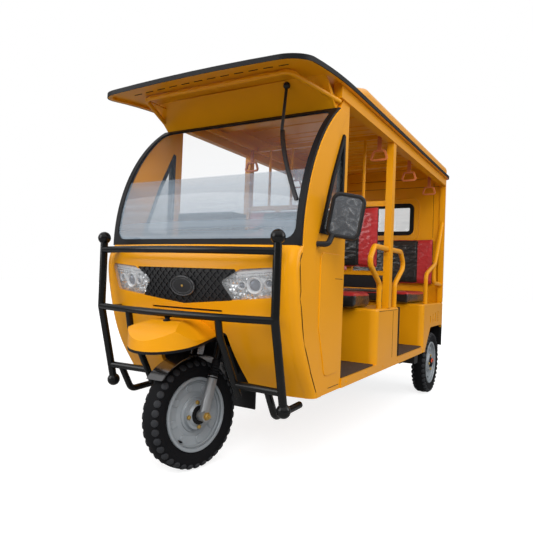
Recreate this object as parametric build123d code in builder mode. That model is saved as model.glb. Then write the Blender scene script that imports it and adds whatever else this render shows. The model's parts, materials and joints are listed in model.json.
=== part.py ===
import os
from math import cos, radians, sin

from build123d import *

os.makedirs("parts", exist_ok=True)

# Sizes in millimetres. The vehicle faces -Y, its left side is +X, the ground is Z = 0.
# Stations run rearward from the front axle, and at() turns a station into Y.
fender_reach = 336.0
tail_station = 2660.0
mid_station = (tail_station - fender_reach) / 2
wheelbase = 2310.0
side_x = 515.0
wall = 22.0

# Heights of the body
sill_low = 342.0
floor_top = 385.0
floor_thick = 20.0
box_top = 690.0
waist = 968.0
rail_low = 1655.0
roof_low = 1712.0

# Stations of the body
b_post = 440.0
box_front = 915.0
c_post = 1150.0
box_back = 1365.0
rear_front = 1960.0
rear_wall_front = 2610.0
rear_wall_back = 2640.0

# Roof
roof_x = 540.0
roof_front = -124.0
roof_corner = 100.0
roof_sheet = 8.0
roof_crown = 12.0
rim_wide = 18.0
edge_tall = 20.0
trim_proud = 5.0
droop_start = 450.0
droop = 50.0
dome_front = 460.0
dome_slope = 320.0
dome_tall = 80.0
dome_inset = 16.0
dome_round = 40.0

# Wheels and steering
tyre_radius = 232.0
tyre_half = 49.0
rim_radius = 159.0
rear_track_half = 457.0
running_fit = 0.05
front_axle_radius = 8.0
stub_radius = 14.0
rake = 19.0
trail_station = 33.0
trail_height = 236.0
fork_half = 85.0
stem_radius = 18.0
rest_turn = -12.0

along = (0, sin(radians(rake)), cos(radians(rake)))


def at(station):
    return station - mid_station


def on_axis(run):
    return (0, at(trail_station) + run * along[1], trail_height + run * along[2])


def on_leg(side, run):
    return (side * fork_half, at(0) + run * along[1], tyre_radius + run * along[2])


steer_axis = Axis(on_axis(0), along)


def steered(piece):
    return piece.rotate(steer_axis, rest_turn)


def bar(points, radius, bend):
    """Round bar along straight runs that are joined by tangent arcs."""
    with BuildPart() as piece:
        with BuildLine() as run:
            if bend:
                FilletPolyline(*points, radius=bend)
            else:
                Polyline(*points)
        with BuildSketch(Plane(run.line @ 0, z_dir=run.line % 0)):
            Circle(radius)
        sweep(path=run.line)
    return piece.part


def bowed_bar(start, middle, end, radius):
    """Round bar along one arc."""
    with BuildPart() as piece:
        with BuildLine() as run:
            ThreePointArc(start, middle, end)
        with BuildSketch(Plane(run.line @ 0, z_dir=run.line % 0)):
            Circle(radius)
        sweep(path=run.line)
    return piece.part


def block(x_range, y_range, z_range):
    """Box between two stations, two heights and two widths."""
    size = [high - low for low, high in (x_range, y_range, z_range)]
    middle = [(high + low) / 2 for low, high in (x_range, y_range, z_range)]
    return Pos(middle[0], at(middle[1]), middle[2]) * Box(*size, mode=Mode.PRIVATE)


def both_sides(piece):
    return [piece, piece.mirror(Plane.YZ)]


def save(piece, label):
    piece.label = label
    export_step(piece, f"parts/{label}.step")


# Nose: plan outlines at rising heights, each a bowed front with rounded corners
nose_sections = [
    # height, corner station, centre station
    (sill_low, 146, 104),
    (470, 58, 16),
    (600, -6, -50),
    (740, -46, -90),
    (900, -64, -108),
    (waist, -32, -74),
]
nose_corner_x = 470.0
nose_corner_depth = 38.0
nose_back = 420.0


def nose_core(inset, half_width):
    with BuildPart() as core:
        for height, corner, centre in nose_sections:
            corner_y = at(corner + inset)
            end_y = at(corner + nose_corner_depth + inset)
            turn_x = nose_corner_x + 0.72 * (half_width - nose_corner_x)
            turn_y = at(corner + 0.3 * nose_corner_depth + inset)
            with BuildSketch(Plane.XY.offset(height)):
                with BuildLine():
                    middle = (0, at(centre + inset))
                    ThreePointArc((-nose_corner_x, corner_y), middle, (nose_corner_x, corner_y))
                    ThreePointArc((nose_corner_x, corner_y), (turn_x, turn_y), (half_width, end_y))
                    Polyline(
                        (half_width, end_y),
                        (half_width, at(nose_back)),
                        (-half_width, at(nose_back)),
                        (-half_width, end_y),
                    )
                    ThreePointArc((-half_width, end_y), (-turn_x, turn_y), (-nose_corner_x, corner_y))
                make_face()
        loft()
    return core.part


nose_solid = nose_core(0, side_x - 2)
nose_hollow = nose_core(wall, side_x + 4)
recess_outer = nose_core(9, side_x - 2)
recess_inner = nose_core(wall + 22, side_x + 4)
rib_outer = nose_core(4, side_x - 2)

# Lamp and grille outlines in the front view, as width and height
lamp_outline = [(284, 868), (456, 881), (420, 760), (242, 742), (192, 815)]
grille_outline = [(286, 867), (200, 815), (250, 741), (0, 716), (-250, 741), (-200, 815), (-286, 867)]
front_view = Plane(origin=(0, at(-400), 0), x_dir=(1, 0, 0), z_dir=(0, 1, 0))
front_reach = 700.0


def front_prism(points, radius):
    """Outline seen from the front, run rearward through the nose."""
    with BuildPart() as prism:
        with BuildSketch(front_view) as outline:
            Polygon(*[(x, -z) for x, z in points], align=None)
            fillet(outline.vertices(), radius)
        extrude(amount=front_reach)
    return prism.part


lamp_prism_left = front_prism(lamp_outline, 14)
lamp_prisms = both_sides(lamp_prism_left)
grille_prism = front_prism(grille_outline, 8)
arch_prism = front_prism([(232, 300), (232, 380), (196, 604), (-196, 604), (-232, 380), (-232, 300)], 20)
slot_prism = front_prism([(190, 698), (190, 690), (-190, 690), (-190, 698)], 3)
cowl_front = [(-nose_corner_x, at(-21)), (0, at(-63)), (nose_corner_x, at(-21))]

with BuildPart() as nose_panel:
    add(nose_solid)
    add(nose_hollow, mode=Mode.SUBTRACT)
    with BuildSketch(Plane.XY.offset(waist - 16)):
        with BuildLine():
            ThreePointArc(*cowl_front)
            Polyline(cowl_front[2], (nose_corner_x, at(14)), (-nose_corner_x, at(14)), cowl_front[0])
        make_face()
    extrude(amount=16)
    add([*lamp_prisms, grille_prism, arch_prism, slot_prism], mode=Mode.SUBTRACT)
save(nose_panel.part, "nose_panel")

# Headlamps: a bright housing behind a clear lens
with BuildPart() as headlamp_housings:
    add(lamp_prisms)
    add(recess_outer.moved(Pos(0, 16, 0)), mode=Mode.INTERSECT)
    add(recess_inner.moved(Pos(0, 14, 0)), mode=Mode.SUBTRACT)
save(headlamp_housings.part, "headlamp_housings")

with BuildPart() as headlamp_lenses:
    add(lamp_prisms)
    add(rib_outer, mode=Mode.INTERSECT)
    add(recess_outer, mode=Mode.SUBTRACT)
save(headlamp_lenses.part, "headlamp_lenses")

# Grille: a backing plate with raised crossing ribs and an oval badge boss
rib_pitch = 34.0
rib_width = 5.0
with BuildPart() as grille_ribs:
    with BuildSketch(front_view):
        with Locations((0, -790)):
            with GridLocations(rib_pitch, rib_pitch, 21, 1):
                for slope in (45, -45):
                    Rectangle(rib_width, 420, rotation=slope)
    extrude(amount=front_reach)
    add(grille_prism, mode=Mode.INTERSECT)
    add(rib_outer, mode=Mode.INTERSECT)

with BuildPart() as badge:
    with BuildSketch(front_view):
        with Locations((0, -790)):
            Ellipse(68, 44)
    extrude(amount=front_reach)
    add(nose_core(-2, side_x - 2), mode=Mode.INTERSECT)

with BuildPart() as grille:
    add(grille_prism)
    add(recess_outer, mode=Mode.INTERSECT)
    add(grille_ribs.part)
    add(badge.part)
    add(nose_hollow.moved(Pos(0, 2, 0)), mode=Mode.SUBTRACT)
    add(lamp_prisms, mode=Mode.SUBTRACT)
save(grille.part, "grille")

# Fender over the front wheel: plan, side and front outlines meet, and the inside is hollow
fender_half = 160.0
fender_root = -20.0


def fender_body(inset):
    half = fender_half - inset
    with BuildPart() as body:
        with BuildSketch(Plane.XY.offset(450)):
            with BuildLine():
                ThreePointArc((-half, at(-176)), (0, at(-fender_reach + inset)), (half, at(-176)))
                Polyline(
                    (half, at(-176)),
                    (half - 8, at(fender_root)),
                    (8 - half, at(fender_root)),
                    (-half, at(-176)),
                )
            make_face()
        extrude(amount=300)
        with BuildSketch(Plane.YZ.offset(-300), mode=Mode.PRIVATE) as side:
            low_tip, high_tip = (at(-fender_reach - 50), 400), (at(-fender_reach - 50), 520 - inset)
            root = at(fender_root + 50)
            with BuildLine():
                Line(low_tip, high_tip)
                ThreePointArc(high_tip, (at(-270), 622 - inset), (at(-150), 650 - inset))
                Polyline((at(-150), 650 - inset), (root, 658 - inset), (root, 400), low_tip)
            make_face()
        extrude(side.sketch, amount=600, mode=Mode.INTERSECT)
        with BuildSketch(Plane.XZ.offset(-at(400)), mode=Mode.PRIVATE) as front:
            edge = half + 24
            with BuildLine():
                ThreePointArc((-edge, 536), (0, 662 - inset), (edge, 536))
                Polyline((edge, 536), (edge, 380), (-edge, 380), (-edge, 536))
            make_face()
        extrude(front.sketch, amount=1000, mode=Mode.INTERSECT)
    return body.part


fender_shell = fender_body(0)
fender_hollow = fender_body(9)
edging_tall = 11.0


def fender_floor(rise):
    """Everything below the fender's slanted lower edge."""
    with BuildPart() as floor:
        with BuildSketch(Plane.YZ.offset(-300)):
            front_y, back_y = at(-fender_reach - 60), at(fender_root + 40)
            Polygon(
                (front_y, 516 + rise), (back_y, 588 + rise), (back_y, 300), (front_y, 300), align=None
            )
        extrude(amount=600)
    return floor.part


with BuildPart() as front_fender:
    add(fender_shell)
    add(fender_hollow, mode=Mode.SUBTRACT)
    add(fender_floor(edging_tall), mode=Mode.SUBTRACT)
    add(nose_solid, mode=Mode.SUBTRACT)
save(front_fender.part, "front_fender")

with BuildPart() as fender_edging:
    add(fender_shell)
    add(fender_hollow, mode=Mode.SUBTRACT)
    add(fender_floor(edging_tall), mode=Mode.INTERSECT)
    add(fender_floor(0), mode=Mode.SUBTRACT)
    add(nose_solid, mode=Mode.SUBTRACT)

# Bull bar: bent posts with ball ends, bowed rails, inner posts and hoops under the sill
post_x = 466.0
post_radius = 17.0
rail_radius = 15.0
ball_radius = 29.0
inner_x = 240.0
rail_heights = (939.0, 677.0)
post_runs = [
    bar(
        [(side * post_x, at(-22), 322), (side * post_x, at(-116), 677), (side * post_x, at(-118), 994)],
        post_radius,
        60,
    )
    for side in (1, -1)
]
rail_runs = [
    bowed_bar((-post_x, at(-118), height), (0, at(-186), height), (post_x, at(-118), height), rail_radius)
    for height in rail_heights
]
inner_runs = [
    bar(
        [
            (side * post_x, at(-42), 396),
            (side * inner_x, at(-30), 396),
        ],
        rail_radius,
        0,
    )
    for side in (1, -1)
]
inner_posts = [
    bar(
        [(side * inner_x, at(-168), 677), (side * inner_x, at(-150), 600), (side * inner_x, at(0), 342)],
        rail_radius,
        40,
    )
    for side in (1, -1)
]
hoops = [
    bar([(side * 400, at(-39), 396), (side * 400, at(30), 277), (side * 400, at(250), 285)], rail_radius, 45)
    for side in (1, -1)
]
stays = [
    bar([(side * 420, at(-126), height), (side * 420, at(20), height)], 10, 0)
    for side in (1, -1)
    for height in rail_heights
]
with BuildPart() as bull_bar:
    add(post_runs + rail_runs + inner_runs + inner_posts + hoops + stays)
    with Locations(
        [(side * post_x, at(y), z) for side in (1, -1) for y, z in ((-22, 322), (-118, 994))]
    ):
        Sphere(ball_radius)
    add(nose_solid, mode=Mode.SUBTRACT)
save(bull_bar.part, "bull_bar")

# Windscreen: one arc in the side view, straight across the cab
screen_low = (-20.0, waist)
screen_mid = (45.0, 1282.0)
screen_high = (311.0, 1610.0)
screen_half = side_x - 3
frame_deep = 18.0
frame_wide = 26.0


def screen_band(start, end, half):
    """Band behind the windscreen's front arc, between two depths."""
    with BuildPart() as band:
        with BuildSketch(Plane.YZ.offset(-half)):
            front = [(at(y + start), z) for y, z in (screen_low, screen_mid, screen_high)]
            back = [(at(y + end), z) for y, z in (screen_low, screen_mid, screen_high)]
            with BuildLine():
                ThreePointArc(*front)
                Line(front[2], back[2])
                ThreePointArc(back[2], back[1], back[0])
                Line(back[0], front[0])
            make_face()
        extrude(amount=2 * half)
    return band.part


screen_rise = (screen_high[1] - screen_low[1]) / 2
screen_run = (screen_high[0] - screen_low[0]) / 2
screen_length = 2 * (screen_rise**2 + screen_run**2) ** 0.5
screen_plane = Plane(
    origin=(0, at(screen_low[0] + screen_run), screen_low[1] + screen_rise),
    x_dir=(1, 0, 0),
    z_dir=(0, -screen_rise, screen_run),
)
with BuildPart() as screen_opening:
    with BuildSketch(screen_plane):
        RectangleRounded(2 * (screen_half - frame_wide), screen_length - 2 * frame_wide, 45)
    extrude(amount=300, both=True)

with BuildPart() as windscreen_frame:
    add(screen_band(0, frame_deep, screen_half))
    add(screen_opening.part, mode=Mode.SUBTRACT)
save(windscreen_frame.part, "windscreen_frame")

with BuildPart() as windscreen_glass:
    add(screen_band(5, 11, screen_half))
    add(screen_opening.part, mode=Mode.INTERSECT)
save(windscreen_glass.part, "windscreen_glass")

# Side panels: from the nose seam and the windscreen back to the B post
window_outline = [(150, 1033), (262, 1300), (368, 1502), (384, 1496), (384, 1030)]
seal_wide = 20.0
side_plane = Plane.YZ.offset(side_x - wall)
panel_seam = 40.0
band_proud = 6.0
panel_face = side_x - band_proud
lower_edge = [(at(corner + panel_seam), height) for height, corner, centre in nose_sections[:5]]
screen_edge = [(at(y + frame_deep), z) for y, z in (screen_low, screen_mid, screen_high)]


def window_prism(shrink, start, thick):
    with BuildPart() as prism:
        with BuildSketch(Plane.YZ.offset(start)) as outline:
            Polygon(*[(at(y), z) for y, z in window_outline], align=None)
            if shrink:
                offset(amount=-shrink, kind=Kind.INTERSECTION)
        extrude(amount=thick)
    return prism.part


with BuildPart() as pillar_band:
    with BuildSketch(side_plane):
        back_edge = [(at(y), z) for y, z in ((400, screen_high[1]), (222, 1283), (128, 1015))]
        foot_edge = [(at(y), z) for y, z in ((112, 910), (150, 600), (222, sill_low))]
        with BuildLine():
            Polyline(*lower_edge, screen_edge[0])
            ThreePointArc(*screen_edge)
            Line(screen_edge[2], back_edge[0])
            ThreePointArc(*back_edge)
            Polyline(back_edge[2], *foot_edge, lower_edge[0])
        make_face()
    extrude(amount=wall)
    fillet(pillar_band.faces().sort_by(Axis.X)[-1].edges(), 4)

with BuildPart() as side_panel_left:
    with BuildSketch(side_plane):
        with BuildLine():
            Polyline(*lower_edge, screen_edge[0])
            ThreePointArc(*screen_edge)
            Polyline(
                screen_edge[2],
                (at(360), rail_low),
                (at(b_post), rail_low),
                (at(b_post), sill_low),
                lower_edge[0],
            )
        make_face()
    extrude(amount=wall - band_proud)
    with BuildSketch(Plane.YZ.offset(panel_face)) as moulding:
        Polygon(
            (at(402), 955), (at(176), 955), (at(176), 640), (at(252), 422), (at(402), 422), align=None
        )
        fillet(moulding.vertices(), 30)
    extrude(amount=4)
    fillet(side_panel_left.faces().sort_by(Axis.X)[-1].edges(), 3)
    add(pillar_band.part)
    add(window_prism(0, side_x - 60, 120), mode=Mode.SUBTRACT)
    add(nose_panel.part, mode=Mode.SUBTRACT)
with BuildPart() as side_panels:
    add(both_sides(side_panel_left.part))
save(side_panels.part, "side_panels")

# Roof: a crowned section swept along the side line, cut to the plan, with a rim that the trim covers
roof_tail = tail_station - trim_proud
roof_over = 60.0
visor_run = droop_start - roof_front
visor_line = [
    # share of the visor's run ahead of droop_start
    1 + roof_over / visor_run,
    0.5,
    0,
]


def roof_sweep(low, high):
    """Roof section between two heights above the lower edge."""
    wide = roof_x + roof_over
    edge_drop = roof_crown * ((wide / roof_x) ** 2 - 1)
    points = [(0, at(droop_start - share * visor_run), roof_low - droop * share**2) for share in visor_line]
    with BuildPart() as slab:
        with BuildLine() as run:
            ThreePointArc(*points)
            Line(points[2], (0, at(tail_station + roof_over), roof_low))
        with BuildSketch(Plane(run.line @ 0, x_dir=(-1, 0, 0), z_dir=run.line % 0)):
            with BuildLine():
                ThreePointArc((-wide, low - edge_drop), (0, low + roof_crown), (wide, low - edge_drop))
                Line((wide, low - edge_drop), (wide, high - edge_drop))
                ThreePointArc((wide, high - edge_drop), (0, high + roof_crown), (-wide, high - edge_drop))
                Line((-wide, high - edge_drop), (-wide, low - edge_drop))
            make_face()
        sweep(path=run.line)
    return slab.part


def roof_plan(inset):
    front, back = roof_front + inset, roof_tail - inset
    with BuildPart() as plan:
        with BuildSketch(Plane.XY.offset(roof_low - 200)):
            with Locations((0, at((front + back) / 2))):
                RectangleRounded(2 * (roof_x - inset), back - front, roof_corner - inset)
        extrude(amount=400)
    return plan.part


def dome_block(front, inset, low, high):
    """Raised panel on the roof, or the hollow under it."""
    back = roof_tail - inset
    with BuildPart() as dome:
        add(roof_sweep(low, high))
        with BuildSketch(Plane.XY.offset(roof_low - 200), mode=Mode.PRIVATE) as plan:
            with Locations((0, at((front + back) / 2))):
                RectangleRounded(2 * (roof_x - inset), back - front, roof_corner - dome_inset)
        extrude(plan.sketch, amount=500, mode=Mode.INTERSECT)
    return dome.part


roof_above = roof_sweep(edge_tall - roof_sheet, 150)
with BuildPart() as roof_hollow:
    add(roof_sweep(-80, edge_tall - roof_sheet))
    add(roof_plan(rim_wide), mode=Mode.INTERSECT)
with BuildPart() as roof_dome:
    add(dome_block(dome_front, dome_inset, 2, edge_tall + dome_tall))
    with BuildSketch(Plane.YZ.offset(-roof_x - roof_over), mode=Mode.PRIVATE) as slope:
        dome_foot, dome_head = roof_low + edge_tall + 10, roof_low + edge_tall + dome_tall + 40
        Polygon(
            (at(dome_front - 60), dome_foot),
            (at(dome_front - 60), dome_head),
            (at(dome_front + dome_slope), dome_head),
            align=None,
        )
    extrude(slope.sketch, amount=2 * (roof_x + roof_over), mode=Mode.SUBTRACT)
    half_way_up = roof_low + edge_tall + dome_tall / 2
    fillet(roof_dome.edges().filter_by(lambda edge: edge.center().Z > half_way_up), dome_round)
with BuildPart() as roof_panel:
    add(roof_sweep(0, edge_tall))
    add(roof_plan(0), mode=Mode.INTERSECT)
    add(roof_dome.part)
    add(roof_hollow.part, mode=Mode.SUBTRACT)
    add(
        dome_block(dome_front + dome_slope, dome_inset + dome_round, -80, edge_tall + dome_tall - roof_sheet),
        mode=Mode.SUBTRACT,
    )
save(roof_panel.part, "roof_panel")

with BuildPart() as roof_trim:
    add(roof_sweep(0, edge_tall))
    add(roof_plan(-trim_proud), mode=Mode.INTERSECT)
    add(roof_plan(0), mode=Mode.SUBTRACT)
with BuildPart() as edge_trim:
    add(roof_trim.part)
    add(fender_edging.part)
save(edge_trim.part, "edge_trim")

# Rear wall with its window
rear_corner = 40.0
rear_window_half = 255.0
rear_window_low = 1252.0
rear_window_high = 1527.0
rear_view = Plane(origin=(0, at(rear_wall_front), 0), x_dir=(1, 0, 0), z_dir=(0, 1, 0))
rear_window_middle = -(rear_window_low + rear_window_high) / 2
rear_window_tall = rear_window_high - rear_window_low


def rear_window(shrink, start, thick):
    with BuildPart() as prism:
        with BuildSketch(rear_view.offset(start)):
            with Locations((0, rear_window_middle)):
                RectangleRounded(2 * (rear_window_half - shrink), rear_window_tall - 2 * shrink, 50 - shrink)
        extrude(amount=thick)
    return prism.part


with BuildPart() as rear_wall:
    add(block((-side_x, side_x), (rear_wall_front, rear_wall_back), (box_top, roof_low + edge_tall - 2)))
    for side in (1, -1):
        corner = block((side_x - 40, side_x), (rear_wall_front - 30, rear_wall_front), (box_top, roof_low))
        add(corner if side == 1 else corner.mirror(Plane.YZ))
    fillet(rear_wall.edges().filter_by(Axis.Z).group_by(Axis.Y)[-1], rear_corner)
    add([rear_window(0, -20, 100), roof_above, roof_panel.part], mode=Mode.SUBTRACT)
save(rear_wall.part, "rear_wall")

with BuildPart() as window_seals:
    add(rear_window(0, -6, rear_wall_back - rear_wall_front + 12))
    add(rear_window(34, -20, 100), mode=Mode.SUBTRACT)
    seal = window_prism(0, side_x - wall - 4, wall + 8) - window_prism(seal_wide, side_x - 60, 120)
    add(both_sides(seal))
save(window_seals.part, "window_seals")

with BuildPart() as cabin_glass:
    add(rear_window(34, 12, 6))
    add(both_sides(window_prism(seal_wide, side_x - 14, 6)))
save(cabin_glass.part, "cabin_glass")

# Chassis: two rails, cross members and the steering head on its neck
rail_x = 250.0
rail_half = 25.0
outrigger_x = 480.0
rail_bottom = 305.0
rail_top = floor_top - floor_thick
head_low = 342.0
head_high = 540.0
head_radius = 30.0
head_bore = stem_radius + running_fit
head_place = Location(Plane(on_axis((head_low + head_high) / 2), z_dir=along))
head_solid = head_place * Cylinder(head_radius, head_high - head_low)
with BuildPart() as chassis_frame:
    for x in (rail_x, -rail_x):
        add(block((x - rail_half, x + rail_half), (345, 2600), (rail_bottom, rail_top)))
    for station in (370, c_post, 1985, 2575):
        add(block((-rail_x, rail_x), (station - 25, station + 25), (rail_bottom, rail_top)))
    add(block((-outrigger_x, outrigger_x), (1890, 1980), (268, sill_low)))
    with BuildSketch(Plane.YZ.offset(-28)):
        low, high = on_axis(head_low + 60), on_axis(head_high - 20)
        Polygon(
            low[1:], high[1:], (at(395), rail_top), (at(395), rail_bottom), (at(345), rail_bottom), align=None
        )
    extrude(amount=56)
    add(head_solid)
    with Locations(head_place):
        Cylinder(head_bore, head_high - head_low + 60, mode=Mode.SUBTRACT)
save(chassis_frame.part, "chassis_frame")

# Floor, mats and sills
sill_in = side_x - 45
with BuildPart() as side_sills:
    add(both_sides(block((sill_in, side_x), (b_post, rear_front), (sill_low, floor_top))))
save(side_sills.part, "side_sills")

with BuildPart() as floor_pan:
    add(block((-sill_in, sill_in), (345, rear_front), (rail_top, floor_top)))
    add(chassis_frame.part, mode=Mode.SUBTRACT)
save(floor_pan.part, "floor_pan")

mat_thick = 7.0
with BuildPart() as floor_mats:
    for front, back in ((b_post + 20, box_front - 8), (box_back + 8, rear_front - 8)):
        add(block((8 - side_x, side_x - 8), (front, back), (floor_top, floor_top + mat_thick)))
save(floor_mats.part, "floor_mats")

# Wheel liner behind the nose, with a flap behind the front wheel
liner_half = 236.0
liner_top = 650.0
liner_back = 322.0
liner_thick = 9.0
liner_low = sill_low + 6
liner_side = [(-44, liner_top), (36, 470), (122, liner_low), (liner_back, liner_low), (liner_back, liner_top)]
with BuildPart() as wheel_liner:
    with BuildSketch(Plane.YZ.offset(-liner_half - liner_thick)):
        Polygon(*[(at(y), z) for y, z in liner_side], align=None)
    extrude(amount=2 * (liner_half + liner_thick))
    add(
        block((-liner_half, liner_half), (-200, liner_back - liner_thick), (200, liner_top - liner_thick)),
        mode=Mode.SUBTRACT,
    )
    add(block((-130, 130), (liner_back - liner_thick, liner_back), (206, liner_low)))
    add([nose_panel.part, chassis_frame.part, head_solid], mode=Mode.SUBTRACT)
save(wheel_liner.part, "wheel_liner")

# Cab frame: C posts, roof rails, cross bows and the tubes that carry the hand straps
rail_in = 480.0
rail_out = roof_x - rim_wide - 2
bow_low = 1690.0
bow_high = 1716.0
strap_x = 440.0
strap_stations = (1090.0, 1735.0, 2330.0)
with BuildPart() as cab_frame:
    for side in (1, -1):
        outer, inner = side * rail_out, side * rail_in
        span = (min(outer, inner), max(outer, inner))
        add(block(span, (318, rear_wall_front - 30), (rail_low, roof_low + edge_tall)))
        post = (min(side * 475, side * side_x), max(side * 475, side * side_x))
        add(block(post, (c_post - 25, c_post + 25), (box_top, rail_low + 10)))
        add(block((side * strap_x - 11, side * strap_x + 11), (420, rear_wall_front), (bow_low, bow_high)))
    for station in (440, c_post, 1900):
        add(block((-rail_in - 5, rail_in + 5), (station - 15, station + 15), (bow_low, bow_high)))
    add([roof_above, roof_panel.part], mode=Mode.SUBTRACT)
save(cab_frame.part, "cab_frame")

# Partition behind the front seat
partition_low = (878.0, 904.0)
partition_high = (1287.0, 1317.0)
partition_front = c_post - 15
with BuildPart() as partition:
    for low, high in (partition_low, partition_high):
        add(block((-475, 475), (partition_front, c_post + 15), (low, high)))
    for x in (-260, 260):
        add(block((x - 15, x + 15), (partition_front, c_post + 15), (partition_low[1], partition_high[0])))
    stake_middle = (partition_high[1] + bow_low) / 2
    with Locations([(x, at(c_post), stake_middle) for x in (-330, -165, 0, 165, 330)]):
        Cylinder(9, bow_low - partition_high[1])
save(partition.part, "partition")

# Header over the windscreen and the hoop under the visor
hoop_front = 40.0
hoop_high = 1689.0
hoop_half = 400.0
hoop_left = [(505, at(330), 1642), (hoop_half, at(hoop_front), hoop_high)]
visor_hoop = bar(hoop_left + [(-x, y, z) for x, y, z in reversed(hoop_left)], 11, 40)
header_outline = [screen_high, (186, 1720), (198, 1728), (320, 1640), (345, 1640), (329, screen_high[1])]
with BuildPart() as windscreen_header:
    with BuildSketch(Plane.YZ.offset(-492)):
        Polygon(*[(at(y), z) for y, z in header_outline], align=None)
    extrude(amount=984)
    add(visor_hoop)
    add([cab_frame.part, side_panels.part, windscreen_frame.part], mode=Mode.SUBTRACT)
    add([roof_above, roof_panel.part], mode=Mode.SUBTRACT)
save(windscreen_header.part, "windscreen_header")

# Dashboard behind the windscreen
with BuildPart() as dashboard:
    add(block((-490, 490), (10, 190), (waist - 70, waist + 40)))
    add(block((-150, 150), (30, 140), (waist + 40, waist + 150)))
    add([nose_panel.part, windscreen_frame.part, windscreen_glass.part], mode=Mode.SUBTRACT)
    add(screen_band(-400, 12, 600), mode=Mode.SUBTRACT)
save(dashboard.part, "dashboard")

# Front seat: box, battery, cushion and backrest
box_wall = 20.0
with BuildPart() as front_seat_box:
    with BuildSketch(Plane.XY.offset(floor_top)):
        with Locations((0, at((box_front + box_back) / 2))):
            RectangleRounded(2 * side_x, box_back - box_front, 45)
    extrude(amount=box_top - floor_top)
    fillet(front_seat_box.edges().group_by(Axis.Z)[-1], 14)
    add(
        block(
            (box_wall - side_x, side_x - box_wall),
            (box_front + box_wall, box_back - box_wall),
            (floor_top, box_top - box_wall),
        ),
        mode=Mode.SUBTRACT,
    )
    add(floor_mats.part, mode=Mode.SUBTRACT)
save(front_seat_box.part, "front_seat_box")

with BuildPart() as battery_pack:
    add(block((-320, 320), (box_front + 60, box_back - 60), (floor_top, floor_top + 230)))
save(battery_pack.part, "battery_pack")

cushion_top = 780.0


def pad(x_half, y_range, z_range, radius):
    with BuildPart() as soft:
        add(block((-x_half, x_half), y_range, z_range))
        fillet(soft.edges(), radius)
    return soft.part


save(pad(435, (826, 1100), (box_top, cushion_top), 22), "front_cushion")
save(pad(470, (partition_front - 48, partition_front), (906, 1290), 18), "front_backrest")

# Rear body: seat box and wheel housings with arches
arch_front = 2046.0
arch_back = 2585.0
arch_top = 512.0
well_x = 362.0
louvre_low = 545.0
louvres = [
    # station, height
    (2190, 52),
    (2275, 62),
    (2360, 72),
    (2445, 82),
]
with BuildPart() as arch_left:
    with BuildSketch(Plane.YZ.offset(well_x + 8)) as arch:
        Polygon(
            (at(arch_front), 200),
            (at(arch_front), sill_low + 10),
            (at(arch_front + 150), arch_top),
            (at(arch_back), arch_top),
            (at(arch_back), 200),
            align=None,
        )
        fillet(arch.vertices(), 34)
    extrude(amount=300)
louvre_cuts = [
    block((side_x - 40, side_x + 20), (station - 11, station + 11), (louvre_low, louvre_low + tall))
    for station, tall in louvres
]
with BuildPart() as rear_body:
    with BuildSketch(Plane.XY.offset(sill_low)):
        with Locations((0, at((rear_front + rear_wall_back) / 2))):
            RectangleRounded(2 * side_x, rear_wall_back - rear_front, rear_corner)
    extrude(amount=box_top - sill_low)
    fillet(rear_body.edges().group_by(Axis.Z)[-1], 12)
    add(
        block((-well_x, well_x), (rear_front + 20, rear_wall_back - 20), (200, box_top - 20)),
        mode=Mode.SUBTRACT,
    )
    add(
        both_sides(
            block((well_x + 8, side_x - 20), (rear_front + 40, rear_wall_back - 40), (200, box_top - 20))
        ),
        mode=Mode.SUBTRACT,
    )
    for cut in [arch_left.part, *louvre_cuts]:
        add(both_sides(cut), mode=Mode.SUBTRACT)
    add([chassis_frame.part, side_sills.part, floor_mats.part], mode=Mode.SUBTRACT)
save(rear_body.part, "rear_body")

save(pad(435, (rear_front - 70, 2440), (box_top, cushion_top), 22), "rear_cushion")
save(pad(455, (rear_wall_front - 66, rear_wall_front), (823, 1225), 20), "rear_backrest")

# Grab rails beside the seats
grab_x = 495.0
grab_radius = 15.0
front_half = [(1005, box_top), (1005, 830), (817, 945), (900, 1034)]
front_loop = front_half + [(2 * c_post - y, z) for y, z in reversed(front_half)]
rear_loop = [(rear_wall_front - 10, 1368), (2373, 998), (2088, 911), (2088, box_top)]
rear_stay = [(2330, 985), (2350, 850), (rear_wall_front - 10, 838)]
grab_left = [
    bar([(grab_x, at(y), z) for y, z in run], grab_radius, bend)
    for run, bend in ((front_loop, 42), (rear_loop, 60), (rear_stay, 40))
]
with BuildPart() as grab_rails:
    for run in grab_left:
        add(both_sides(run))
    add([cab_frame.part, rear_wall.part, front_seat_box.part, rear_body.part], mode=Mode.SUBTRACT)
save(grab_rails.part, "grab_rails")

# Hand straps: a short web and a D-shaped ring under each strap tube
strap_drop = 1545.0
ring_tall = 66.0
ring_outline = [(-58, 0), (58, 0), (36, ring_tall), (-36, ring_tall)]
with BuildPart() as hand_straps:
    for side in (1, -1):
        for station in strap_stations:
            ring_place = (side * strap_x, at(station) + 6, strap_drop)
            with BuildSketch(Plane(ring_place, x_dir=(1, 0, 0), z_dir=(0, -1, 0))) as ring:
                Polygon(*ring_outline, align=None)
                fillet(ring.vertices(), 18)
                offset(amount=-11, mode=Mode.SUBTRACT)
            extrude(amount=12)
            web = (side * strap_x - 12, side * strap_x + 12)
            add(block(web, (station - 3, station + 3), (strap_drop + ring_tall - 6, bow_low)))
save(hand_straps.part, "hand_straps")

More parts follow.
